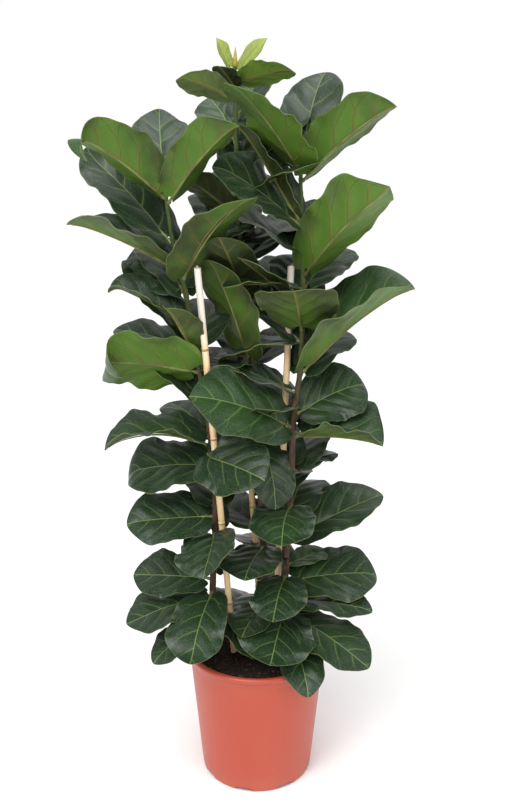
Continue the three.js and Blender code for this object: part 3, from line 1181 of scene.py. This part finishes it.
@dataclass
class Leaf:
    """One leaf: a stalk that runs on as the midrib, and a thin blade with veins and a wavy margin.

    Attributes:
        name: The piece's name.
        spine: Its middle line.
        tone: How bright its green is, from 0 for dark to 1 for bright: partly its age, and partly
            painted light where a high tone paints a lit face.
        age: How grown it is, which picks its finishes; those of the two top leaves are also painted
            light.
        curl: How far the end of the blade rolls over, in degrees.
        point: How pointed the end is, a half being a round end.
        wave: How far the margin waves.
        rows: Points along the blade.
        columns: Points across it.
        side_veins: Side veins on each half.
        thickness: Thickness of the blade.
    """

    name: str
    spine: Spine
    tone: float = 0.4
    age: Age = Age.GROWN
    curl: float = 0.0
    point: float = 0.66
    wave: float = 4.0 * MM
    rows: int = 52
    columns: int = 33
    side_veins: float = 4.4
    thickness: float = 0.9 * MM

    def half(self, share: np.ndarray) -> np.ndarray:
        """Half the blade's width at shares of its length."""
        return outline(share, self.point) * self.spine.width / 2

    def vein_order(self, share: np.ndarray, across: np.ndarray) -> np.ndarray:
        """Which side vein a place on the blade is at, passing a half at each vein.

        Args:
            share: How far along the blade the place is, from 0 to 1.
            across: How far across it is, from -1 to 1.

        Returns:
            The vein's number, without the shift between the two halves.
        """
        reach = np.abs(across)
        lean = 0.95 * self.half(share) / self.spine.length
        return self.side_veins * (share + 0.06 - lean * reach * (0.7 + 0.5 * reach))

    def surface(self) -> tuple[np.ndarray, np.ndarray, np.ndarray]:
        """The upper face of the blade.

        Returns:
            Its points in rows, each point's share along it, and each point's share across it.
        """
        seeded = random.Random(self.name)
        even = np.linspace(0, 1, self.rows)
        share = 0.45 * even + 0.55 * (1 - np.cos(math.pi * even)) / 2
        share, across = np.meshgrid(share, np.linspace(-1, 1, self.columns), indexing="ij")
        along, reach = share[:, 0], np.abs(across)
        s = self.spine
        size = s.width / USUAL_WIDTH

        sway = seeded.uniform(-1, 1) * SWAY * size * np.sin(math.pi * along)
        centre = eased(along, s.shares, s.centres)[:, None]
        left = unit(eased(along, s.shares, s.lefts))[:, None]
        up = unit(eased(along, s.shares, s.ups))[:, None]
        ahead = np.cross(left, up)
        centre = centre + left * sway[:, None, None]
        twist = math.radians(seeded.uniform(-10, 10)) * along[:, None, None]
        turned, tipped = np.cos(twist), np.sin(twist)
        left, up = left * turned + up * tipped, up * turned - left * tipped

        uneven = np.where(across > 0, seeded.uniform(0.94, 1.05), seeded.uniform(0.94, 1.05))
        half = self.half(share) * uneven
        half = half * (1 + 0.03 * np.sin(2 * math.pi * 2.3 * share + across * seeded.uniform(1, 3)))
        lift = s.cup + DROOP * (0.25 - 1.25 * reach)
        aside = half * reach * np.cos((s.cup + lift) / 2) * np.sign(across)
        above = half * reach * np.sin((s.cup + lift) / 2)

        swing = 2 * math.pi * seeded.uniform(1.5, 2.4)
        shift = np.where(across > 0, seeded.uniform(0, 6.3), seeded.uniform(0, 6.3))
        window = np.sin(math.pi * np.clip(share * 1.15, 0, 1)) ** 0.5
        wave = self.wave * size * window
        above = above + wave * reach**2.4 * np.sin(swing * share + shift)
        above = above + 0.35 * wave * reach**4 * np.sin(3.1 * swing * share + 2 * shift)
        order = self.vein_order(share, across) + np.where(across > 0, VEIN_SHIFT, -VEIN_SHIFT)
        puff = np.cos(2 * math.pi * order) * np.sin(math.pi * np.clip(reach, 0, 1) ** 0.7)
        above = above + PUFF * size * puff * (1 - share**4)
        above = above + self.lumps(share, across, seeded.uniform(0, 99)) * reach**0.7 * window
        above = above - FURROW * size * np.exp(-((reach * half / (3 * MM)) ** 2)) * (1 - share)
        rounded = reach**1.3 * (1 - 0.48 * reach**4)
        behind = -LOBE * s.length * np.maximum(0, 1 - share / 0.3) * rounded
        points = centre + left * aside[..., None] + up * above[..., None]
        points = points + ahead * behind[..., None]
        return self.curled(points, share), share, across

    def lumps(self, share: np.ndarray, across: np.ndarray, seed: float) -> np.ndarray:
        """The slow unevenness of a grown blade.

        Args:
            share: How far along the blade each place is.
            across: How far across it each place is.
            seed: What sets this blade's lumps apart.

        Returns:
            A height at each place.
        """
        places = zip((3.2 * share).ravel(), (1.3 * across).ravel())
        heights = np.array([noise.noise(Vector((long, wide, seed))) for long, wide in places])
        return LUMP * self.spine.width / USUAL_WIDTH * heights.reshape(share.shape)

    def curled(self, points: np.ndarray, share: np.ndarray) -> np.ndarray:
        """Rolls the end of the blade over.

        Args:
            points: Points on the leaf, in rows across it.
            share: How far along the blade each of them is.

        Returns:
            The points in their new places.
        """
        if not self.curl:
            return points
        s = self.spine
        start = np.array([CURL_FROM])
        hinge = eased(start, s.shares, s.centres)[0]
        left = Vector(unit(eased(start, s.shares, s.lefts))[0])
        rolled = points.copy()
        for i, row in enumerate(points):
            past = (share[i, 0] - CURL_FROM) / (1 - CURL_FROM)
            if past > 0:
                turn = Matrix.Rotation(math.radians(self.curl) * past, 3, left)
                rolled[i] = (row - hinge) @ np.array(turn).T + hinge
        return rolled

    def blade(self) -> Piece:
        """Makes the blade: a grid laid on the leaf's surface and thickened downwards.

        Returns:
            The blade, with its two maps and its finishes.
        """
        points, share, across = self.surface()
        piece = added(bpy.ops.mesh.primitive_grid_add, x_subdivisions=self.columns - 1,
                      y_subdivisions=self.rows - 1, size=2, location=(0, 0, 0))
        mesh = piece.data
        flat = np.zeros(len(mesh.vertices) * 3, np.float32)
        mesh.vertices.foreach_get("co", flat)
        flat = flat.reshape(-1, 3)
        row = np.rint((flat[:, 1] + 1) / 2 * (self.rows - 1)).astype(int)
        column = self.columns - 1 - np.rint((flat[:, 0] + 1) / 2 * (self.columns - 1)).astype(int)
        mesh.vertices.foreach_set("co", points[row, column].astype(np.float32).ravel())
        share, across = share[row, column], across[row, column]

        corner = np.zeros(len(mesh.loops), np.int32)
        mesh.loops.foreach_get("vertex_index", corner)
        sides = np.zeros(len(mesh.loops))
        for face in mesh.polygons:
            side = np.sign(across[list(face.vertices)].mean())
            sides[face.loop_start:face.loop_start + face.loop_total] = side
        along, aside = share[corner], across[corner]
        order = self.vein_order(along, aside) + VEIN_SHIFT * sides
        maps = {
            "veins": np.c_[aside * self.half(along), order],
            "spread": np.c_[np.abs(aside), np.full(len(corner), self.tone)],
        }
        mesh.uv_layers[0].name = "veins"
        mesh.uv_layers.new(name="spread")
        for name, rows in maps.items():
            mesh.uv_layers[name].uv.foreach_set("vector", rows.astype(np.float32).ravel())

        upper, under, _ = self.age.value
        painted(piece, upper, under, MARGIN, STALK)
        bpy.ops.object.mode_set(mode="EDIT")
        bpy.ops.mesh.select_all(action="SELECT")
        bpy.ops.mesh.remove_doubles(threshold=2 * SAME_POINT)
        bpy.ops.object.mode_set(mode="OBJECT")
        finish_with(piece, "SOLIDIFY", thickness=self.thickness, offset=-1, use_rim=True,
                    material_offset=1, material_offset_rim=2)
        return piece

    def stalk(self) -> Piece:
        """Makes the stalk and the midrib that stands out under the blade.

        Returns:
            The stalk, with its finish.
        """
        s = self.spine
        scale = min(1.0, 2 * s.width / USUAL_WIDTH)
        gaps = np.linalg.norm(np.diff(s.stalk, axis=0), axis=1)
        known = np.r_[0, np.cumsum(gaps)]
        foot = np.linspace(0, known[-1], 8)[:-1]
        stem_end = eased(foot, known, s.stalk)
        into = unit(stem_end[0] - stem_end[1]) * 3.0 * MM
        stem_end = np.vstack([stem_end[0] + into, stem_end])
        share = np.linspace(0.0, 0.95, 24)
        under = eased(share, s.shares, s.centres)
        ups = unit(eased(share, s.shares, s.ups))
        thick = MM * scale * (2.1 * (1 - share) ** 0.8 + 0.35)
        depth = self.thickness + 1.1 * MM * scale * (1 - share) + 0.35 * thick
        ease_in = np.minimum(share / 0.06, 1)[:, None]
        rib = under - ups * depth[:, None] * ease_in
        rib = self.curled(rib[:, None], share[:, None])[:, 0]
        swell = MM * scale * (2.2 + 1.1 * np.exp(-((np.r_[0, foot] / (3.5 * MM)) ** 2)))
        return painted(tube(np.vstack([stem_end, rib]), np.r_[swell, thick], 10), STALK)

    def build(self, *nodes: str) -> Piece:
        """Makes the leaf.

        Args:
            nodes: The CAD node that it stands for, if it has one.

        Returns:
            The finished piece.
        """
        return settled(joined(self.blade(), self.stalk()), self.name, self.age.value[2], 55, *nodes)


@dataclass(frozen=True)
class Look:
    """What sets one leaf apart from the usual.

    Attributes:
        tone: How bright its green is, from 0 for dark to 1 for bright: partly its age, and partly
            painted light where a high tone paints a lit face.
        curl: How far the end of the blade rolls over, in degrees.
        point: How pointed the end is, a half being a round end.
        wave: How far the margin waves.
        age: How grown it is, which picks its finishes; those of the two top leaves are also painted
            light.
    """

    tone: float = 0.35
    curl: float = 8.0
    point: float = 0.66
    wave: float = 5.5 * MM
    age: Age = Age.GROWN


# A tone near 1 here is partly painted light: it paints the bright green of a leaf face that catches
# the light, as on the undersides of left_01, left_10 and back_03.
LOOKS = {
    "back_01": Look(0.5, 8, 1.3, 1.6 * MM, Age.YOUNG),
    "back_02": Look(0.5, 8, 1.3, 1.6 * MM, Age.YOUNG),
    "left_01": Look(1.0, 90, 0.85),
    "left_03": Look(0.95, 12, 0.85),
    "left_05": Look(0.45),
    "left_06": Look(0.55),
    "left_09": Look(0.35),
    "left_10": Look(1.0, 115, 0.7),
    "left_12": Look(0.1),
    "left_08": Look(0.05, 40),
    "right_01": Look(1.0, 8, 0.8),
    "right_02": Look(0.2),
    "right_03": Look(0.9, 10, 0.85),
    "right_04": Look(0.0),
    "right_06": Look(1.0, -10, 0.95),
    "right_09": Look(0.5),
    "right_10": Look(0.75),
    "right_12": Look(0.6, 5, 0.85),
    "right_13": Look(0.45, 5),
    "right_18": Look(0.0),
    "right_21": Look(0.2),
    "back_03": Look(1.0, 15, 0.8, 5.5 * MM, Age.FRESH),
    "back_04": Look(0.2, 15, 0.8, 5.5 * MM, Age.FRESH),
    "back_09": Look(0.7),
    "back_10": Look(0.0),
    "left_15": Look(0.15, 10),
    "left_13": Look(0.2, 35),
}

# Leaves inside the plant, which the frame doesn't hold. Each is [stem, height above the soil's edge
# in mm, heading, rise, arch, length, width, roll, cup, tone], in mm and degrees as in Spine.grown.
INNER_LEAVES = [
    ["left", 610, 150, 50, 15, 190, 105, 0, 15, 0.1],
    ["left", 500, 150, 45, 20, 170, 100, 0, 15, 0.1],
    ["left", 455, 60, 30, 20, 150, 95, 0, 15, 0.1],
    ["left", 345, 40, 25, 20, 140, 90, 0, 15, 0.2],
    ["left", 300, 95, 20, 20, 150, 100, 0, 15, 0.2],
    ["right", 610, 130, 35, 20, 160, 95, 0, 15, 0.05],
    ["right", 520, 170, 30, 20, 140, 85, 0, 15, 0.1],
    ["right", 380, 110, 25, 20, 150, 100, 0, 15, 0.15],
    ["right", 250, 80, 20, 25, 150, 110, 0, 15, 0.2],
    ["back", 980, 60, 45, 15, 130, 80, 0, 15, 0.1],
    ["back", 680, 250, 55, 15, 170, 90, 0, 15, 0.1],
    ["back", 560, 40, 30, 20, 150, 95, 0, 15, 0.2],
    ["back", 450, 290, 40, 25, 140, 85, 0, 15, 0.15],
    ["back", 400, 110, 20, 20, 150, 105, 0, 15, 0.2],
    ["back", 300, 60, 15, 20, 150, 105, 0, 15, 0.2],
    ["back", 240, 130, 15, 25, 150, 105, 0, 15, 0.2],
    ["back", 130, 80, 10, 25, 145, 100, 0, 15, 0.2],
    ["back", 90, 250, 10, 20, 130, 85, 0, 15, 0.05],
    ["right", 672, 205, 45, 10, 150, 85, 0, 15, 0.1],
    ["right", 185, 40, 5, 10, 95, 60, 0, 10, 0.9],
    ["right", 373, 55, 4, 10, 120, 90, 0, 15, 0.1],
    ["back", 1030, 249, 35, 10, 70, 45, 0, 15, 0.0],
    ["left", 95, 318, -10, 35, 125, 80, 0, 10, 0.05],
    ["right", 612, 168, -5, 25, 150, 95, 0, 15, 0.05],
    ["back", 425, 290, -30, 45, 140, 85, 0, 15, 0.1],
    ["back", 560, 205, 15, 30, 100, 90, 0, 15, 0.05],
    ["left", 600, 160, 15, 15, 150, 105, 0, 15, 0.05],
    ["right", 470, 50, 15, 20, 170, 100, 0, 15, 0.05],
    ["back", 850, 335, 35, 20, 165, 110, 0, 10, 0.0],
    ["back", 775, 15, 20, 20, 170, 115, 0, 10, 0.0],
    ["back", 900, 25, 40, 15, 160, 100, 0, 10, 0.0],
    ["right", 765, 165, 35, 20, 165, 105, 0, 15, 0.0],
    ["right", 705, 200, 20, 30, 140, 95, 0, 15, 0.0],
    ["left", 760, 20, 30, 20, 150, 100, 0, 10, 0.05],
]

# Leaves that face the back: the lowest and highest on each stem in mm, and how many.
BEHIND = {"left": (75, 690, 8), "right": (100, 640, 7), "back": (330, 880, 6)}


@dataclass
class Bud:
    """A bud, or the dried sheath of one, that stands off a stem and ends in a point.

    Attributes:
        name: The piece's name.
        length: Its length.
        radius: Its thickest radius.
        finish: Its surface.
        bend: How far its point turns up, as a share of its length.
    """

    name: str
    length: float
    radius: float
    finish: Finish
    bend: float = 0.18

    def build(self, foot: np.ndarray, heading: float, rise: float) -> Piece:
        """Makes the bud.

        Args:
            foot: Where it sits on the stem.
            heading: Its direction from above, in degrees anticlockwise from +X.
            rise: Its slope in degrees.

        Returns:
            The finished piece.
        """
        yaw, pitch = math.radians(heading), math.radians(rise)
        flat = np.array([math.cos(yaw), math.sin(yaw), 0])
        ahead = flat * math.cos(pitch) + np.array([0, 0, math.sin(pitch)])
        above = np.array([0, 0, math.cos(pitch)]) - flat * math.sin(pitch)
        along = np.linspace(0, 1, 20)
        lifted = self.bend * along[:, None] ** 2 * above
        line = foot + self.length * (along[:, None] * ahead + lifted)
        swell = eased(along, np.array([0, 0.25, 0.6, 1]), np.array([0.65, 1, 0.62, 0.04]))
        scales = 1 + 0.1 * np.abs(np.sin(3.5 * math.pi * along))
        piece = tube(line, self.radius * swell * scales, 12)
        finish_with(piece, "SUBSURF", levels=1, render_levels=1)
        return settled(painted(piece, self.finish), self.name, "stem", 60)


# Each bud is [name, stem, height above the soil's edge in mm, heading, rise, length, radius].
BUDS = [
    ["left_bud", "left", 648, 300, 55, 17, 4.6],
    ["left_low_bud", "left", 470, 20, 50, 11, 3.4],
    ["right_bud", "right", 492, 250, 60, 15, 4.4],
    ["right_low_bud", "right", 420, 290, 50, 10, 3.2],
    ["back_bud", "back", 700, 260, 55, 11, 3.2],
]


@dataclass
class Foliage:
    """All the leaves, the young ones at the tip, and the buds.

    Attributes:
        stems: Each stem's line by its name.
        soil_edge: Height of the soil's edge.
    """

    stems: dict[str, Rod]
    soil_edge: float

    def build(self) -> None:
        """Makes the frame's leaves, then those inside and behind, and the buds."""
        for node in sorted(n for n in frame["nodes"] if n.startswith("leaf_")):
            key = node.removeprefix("leaf_")
            seeded = random.Random(key)
            look = LOOKS.get(key, Look(seeded.uniform(0.1, 0.4), seeded.uniform(-25, 30)))
            spine = Spine.of(node).reaching_back(BLADE_BACK)
            Leaf(f"{key}_leaf", spine, look.tone, look.age, look.curl, look.point,
                 look.wave).build(node)
        for i, row in enumerate(INNER_LEAVES):
            stem, height, heading, rise, arch, length, width, roll, cup, tone = row
            form = (rise, arch, length * MM, width * MM, roll, cup)
            self.grow(f"inner_{i + 1:02}_leaf", stem, height, heading, form, tone, 0)
        self.build_behind()
        self.build_buds()

    def grow(self, name: str, stem: str, height: float, heading: float, form: tuple, tone: float,
             curl: float) -> None:
        """Makes a leaf that the frame doesn't hold, on a coarser grid.

        Args:
            name: The piece's name.
            stem: The stem that it grows on.
            height: Height of its stalk's foot in mm above the soil's edge.
            heading: Its direction from above, in degrees anticlockwise from +X.
            form: Its rise, arch, length, width, roll and cup, as in Spine.grown.
            tone: How bright its green is, from 0 for dark to 1 for bright.
            curl: How far its end rolls over, in degrees.
        """
        centre, radius = self.stems[stem].at(self.soil_edge + height * MM)
        yaw = math.radians(heading)
        start = centre + radius * np.array([math.cos(yaw), math.sin(yaw), 0])
        spine = Spine.grown(start, heading, *form).reaching_back(BLADE_BACK)
        Leaf(name, spine, tone, curl=curl, rows=40, columns=25).build()

    def build_behind(self) -> None:
        """Makes the leaves that face the back, spaced evenly up each stem."""
        seeded = random.Random("behind")
        for stem, (low, high, count) in BEHIND.items():
            for i, height in enumerate(np.linspace(low, high, count)):
                heading = 90 + 38 * math.sin(2.4 * i + len(stem))
                length = seeded.uniform(145, 165) * MM
                form = (8 + height / 18, 42, length, length * 0.66, 0, 12)
                tone, curl = seeded.uniform(0.1, 0.45), seeded.uniform(-10, 30)
                self.grow(f"{stem}_behind_{i + 1}_leaf", stem, height, heading, form, tone, curl)

    def build_buds(self) -> None:
        """Makes the buds on the stems and the dried sheath at the top."""
        for name, stem, height, heading, rise, length, radius in BUDS:
            centre, _ = self.stems[stem].at(self.soil_edge + height * MM)
            Bud(name, length * MM, radius * MM, BUD).build(centre, heading, rise)
        tip = self.stems["back"].centres[-1] - np.array([0, 0, 3 * MM])
        Bud("tip_sheath", 34 * MM, 4.2 * MM, SHEATH, 0.05).build(tip, 70, 82)


# ------------------------------------------------------------- pot and soil


@dataclass
class Pot:
    """The tapered plastic pot: foot, wall, step, rolled lip, inner wall and drain slots.

    Attributes:
        wall: Thickness of the wall.
        floor: Thickness of the floor.
        corner: Radius of the foot's rounded edge.
        step_below: How far under the lip the wall steps out.
        lip_height: Height of the rolled lip.
        lip_overhang: How far the lip stands out from the wall.
        sides: Sides of its round.
        drains: Number of drain slots.
        drain_from: Where the first one is, in degrees from +X.
        drain_size: Length outwards, width and height of the block that cuts a slot.
    """

    wall: float = 2.5 * MM
    floor: float = 4 * MM
    corner: float = 6 * MM
    step_below: float = 14 * MM
    lip_height: float = 11 * MM
    lip_overhang: float = 8 * MM
    sides: int = 128
    drains: int = 8
    drain_from: float = 256
    drain_size: tuple = (26 * MM, 30 * MM, 14 * MM)

    def __post_init__(self) -> None:
        """Takes the overall size from the frame."""
        low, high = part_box("pot")
        self.height = high.z
        self.rim = high.x
        points = np.array([v.co[:] for v in frame["nodes"]["pot"].data.vertices])
        self.base = np.hypot(*points[points[:, 2] < self.corner + 0.5 * MM, :2].T).max()

    def outer(self, height: float) -> float:
        """Radius of the plain outer wall at a height."""
        top = self.rim - self.lip_overhang
        return self.base + (top - self.base) * height / (self.height - self.lip_height)

    def profile(self) -> list[tuple[float, float]]:
        """The rings of the pot, from the foot's outside over the lip to the inner floor.

        Returns:
            The radius and height of each ring.
        """
        under = self.height - self.lip_height
        corner, roll = self.corner, self.lip_height / 2
        foot = self.base - corner
        top = self.rim - self.lip_overhang
        step = under - self.step_below
        rings = [(foot + corner * math.sin(angle), corner - corner * math.cos(angle))
                 for angle in np.radians([0, 22, 45, 68, 90])]
        rings += [(self.outer(height), height) for height in np.linspace(0.03, step - 3 * MM, 6)]
        rings += [(self.outer(step) + out * MM, step + high * MM)
                  for out, high in ((0, 0), (0.7, 0.6), (1.2, 1.6))]
        rings += [(top + out * MM, under + high * MM)
                  for out, high in ((0.9, -2), (1.3, -0.5), (2.2, 0))]
        for angle in np.radians([-100, -75, -50, -25, 0, 25, 50, 75, 95]):
            rings.append((self.rim - roll + roll * math.cos(angle),
                          self.height - roll + roll * math.sin(angle)))
        rings += [(top + out * MM, self.height - low * MM)
                  for out, low in ((0.3, 0.2), (-1.2, 1.2))]
        rings.append((top - self.wall + 0.3 * MM, self.height - 3.5 * MM))
        rings += [(self.outer(height) - self.wall, height)
                  for height in (under, under * 0.6, self.floor + 4 * MM)]
        rings.append((self.outer(0) - self.wall - 3 * MM, self.floor))
        return rings

    def build(self) -> Piece:
        """Raises the pot from its base, cuts its drain slots and rounds its edges a little.

        Returns:
            The finished piece.
        """
        piece = raised(self.profile(), self.sides)
        cutter = self.drain_blocks()
        finish_with(piece, "BOOLEAN", object=cutter, operation="DIFFERENCE", solver="EXACT")
        bpy.data.objects.remove(cutter)
        finish_with(piece, "BEVEL", width=0.5 * MM, segments=2, limit_method="ANGLE",
                    angle_limit=math.radians(50))
        return settled(painted(piece, POT_SKIN), "pot_shell", "pot", 35, "pot")

    def drain_blocks(self) -> Piece:
        """The blocks that cut the slots at the foot's edge.

        Returns:
            All the blocks as one object.
        """
        reach = self.base + 2 * MM
        blocks = []
        for i in range(self.drains):
            turn = math.radians(self.drain_from + i * 360 / self.drains)
            place = (reach * math.cos(turn), reach * math.sin(turn), 0)
            blocks.append(added(bpy.ops.mesh.primitive_cube_add, size=1, location=place,
                                rotation=(0, 0, turn), scale=self.drain_size))
        return joined(*blocks)


@dataclass
class Soil:
    """The peat that fills the pot, heaped a little in the middle, with crumbs on it.

    Attributes:
        crumbs: Number of loose crumbs.
        sides: Sides of its round.
        rounds: Rings from its edge to its middle.
        lump: Height of the lumps on it.
    """

    crumbs: int = 420
    sides: int = 96
    rounds: int = 34
    lump: float = 2.6 * MM

    def __post_init__(self) -> None:
        """Takes the soil's size from the frame."""
        points = np.array([v.co[:] for v in frame["nodes"]["soil"].data.vertices])
        reach = np.hypot(points[:, 0], points[:, 1])
        self.radius = reach.max()
        self.edge = points[reach > 0.98 * self.radius, 2].max()
        self.floor = points[:, 2].min()
        self.foot = reach[points[:, 2] < self.floor + MM].max()
        self.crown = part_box("soil")[1].z

    def level(self, reach: float) -> float:
        """Height of the soil at a distance from the axis, before its lumps."""
        share = min(reach / self.radius, 1)
        return self.edge + (self.crown - self.edge) * (1 - share**2)

    def build(self) -> Piece:
        """Makes the body of the soil, its lumpy surface and its crumbs.

        Returns:
            The finished piece.
        """
        reaches = [self.radius * (1 - i / self.rounds) for i in range(1, self.rounds)]
        slope = [(reach, self.level(reach)) for reach in reaches]
        piece = raised([(self.foot, self.floor), (self.radius, self.edge), *slope], self.sides)
        for vertex in piece.data.vertices:
            reach = math.hypot(vertex.co.x, vertex.co.y)
            if vertex.co.z > self.edge - 2 * MM and reach < self.radius - MM:
                vertex.co.z += self.lump * noise.fractal(Vector(vertex.co) * 60, 0.8, 2.0, 5)
        painted(piece, PEAT, CRUMB)
        return settled(joined(piece, self.scatter()), "soil_peat", "soil", 40, "soil")

    def scatter(self) -> Piece:
        """Makes the loose crumbs as one mesh.

        Returns:
            The crumbs.
        """
        seeded = random.Random("crumbs")
        crumbs = bmesh.new()
        for _ in range(self.crumbs):
            reach = (self.radius - 5 * MM) * math.sqrt(seeded.random())
            turn = seeded.uniform(0, 2 * math.pi)
            size = seeded.uniform(0.8, 3.2) * MM
            place = Matrix.Translation((reach * math.cos(turn), reach * math.sin(turn),
                                        self.level(reach) + 0.3 * size))
            tilt = Matrix.Rotation(seeded.uniform(0, 3), 4, (seeded.random(), seeded.random(), 1))
            shape = Matrix.Diagonal((size * seeded.uniform(0.7, 2.2), size, size * 0.7, 1))
            bmesh.ops.create_icosphere(crumbs, subdivisions=1, radius=1,
                                       matrix=place @ tilt @ shape)
        mesh = bpy.data.meshes.new("crumbs")
        crumbs.to_mesh(mesh)
        crumbs.free()
        return painted(linked("crumbs", mesh), CRUMB)


# ------------------------------------------------------------------- studio


class Light(Enum):
    """The studio's soft boxes: place, turn in degrees, width, height and power."""

    KEY = ((-1.6, -2.2, 2.6), (48, 0, -36), 1.4, 1.4, 34.0)
    FILL = ((1.9, -1.8, 1.7), (62, 0, 46), 1.0, 1.6, 16.0)
    TOP = ((0.2, 0.6, 3.0), (-12, 0, 0), 1.2, 1.2, 14.0)


@dataclass
class Studio:
    """A plain pale floor, soft light from all round and the camera.

    Attributes:
        floor_size: Side of the floor.
        sky: Strength of the light from all round.
        sun: Strength of the broad light from above.
        sun_turn: How that light is turned, in degrees.
        sun_width: How broad it is, in degrees.
        camera_at: Where the camera stands.
        camera_down: How far it looks down, in degrees.
        lens: Its focal length in mm, with a sensor 36 mm wide.
    """

    floor_size: float = 400.0
    sky: float = 0.58
    sun: float = 1.75
    sun_turn: tuple = (32, 0, -20)
    sun_width: float = 50.0
    camera_at: tuple = (-0.0066, -1.834, 1.383)
    camera_down: float = 19.18
    lens: float = 50.0

    def build(self) -> None:
        """Makes the floor, the lights and the camera."""
        floor = added(bpy.ops.mesh.primitive_plane_add, size=self.floor_size, location=(0, 0, 0))
        floor.name = "studio_floor"
        painted(floor, PAPER)
        for light in Light:
            place, turn, wide, high, power = light.value
            lamp = bpy.data.lights.new(light.name.lower(), "AREA")
            lamp.shape = "RECTANGLE"
            lamp.size, lamp.size_y, lamp.energy = wide, high, power
            holder = linked(light.name.lower(), lamp)
            holder.location = place
            holder.rotation_euler = np.radians(turn)
        sun = linked("sun", bpy.data.lights.new("sun", "SUN"))
        sun.data.energy = self.sun
        sun.data.angle = math.radians(self.sun_width)
        sun.rotation_euler = np.radians(self.sun_turn)
        bpy.context.scene.world = self.surroundings()
        bpy.context.scene.view_settings.view_transform = "Standard"
        camera = linked("camera", bpy.data.cameras.new("camera"))
        camera.data.lens = self.lens
        camera.data.sensor_width = 36
        camera.location = self.camera_at
        camera.rotation_euler = (math.radians(90 - self.camera_down), 0, 0)
        bpy.context.scene.camera = camera

    def surroundings(self) -> bpy.types.World:
        """The white surroundings, which the camera sees brighter than they light the plant.

        Returns:
            The world.
        """
        world = bpy.data.worlds.new("studio")
        world.use_nodes = True
        nodes, links = world.node_tree.nodes, world.node_tree.links
        backdrop = nodes["Background"]
        backdrop.inputs["Color"].default_value = (1, 1, 1, 1)
        share = nodes.new("ShaderNodeMapRange")
        share.inputs["To Min"].default_value = self.sky
        links.new(nodes.new("ShaderNodeLightPath").outputs["Is Camera Ray"], share.inputs["Value"])
        links.new(share.outputs[0], backdrop.inputs["Strength"])
        return world


def main() -> None:
    """Builds the plant, its pot and the studio in order."""
    logging.basicConfig(level=logging.INFO, format="%(message)s")
    Studio().build()
    Pot().build()
    soil = Soil()
    soil.build()
    names = ("left", "right", "back")
    stems = {name: Stem(name) for name in names}
    canes = {name: Rod.of(f"cane_{name}") for name in names}
    for name in names:
        stems[name].build()
        Cane(name).build()
    for name in ("left", "right"):
        Tie(name).build(stems[name].rod, canes[name])
    Foliage({name: stem.rod for name, stem in stems.items()}, soil.edge).build()
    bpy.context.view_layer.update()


if __name__ == "__main__":
    main()
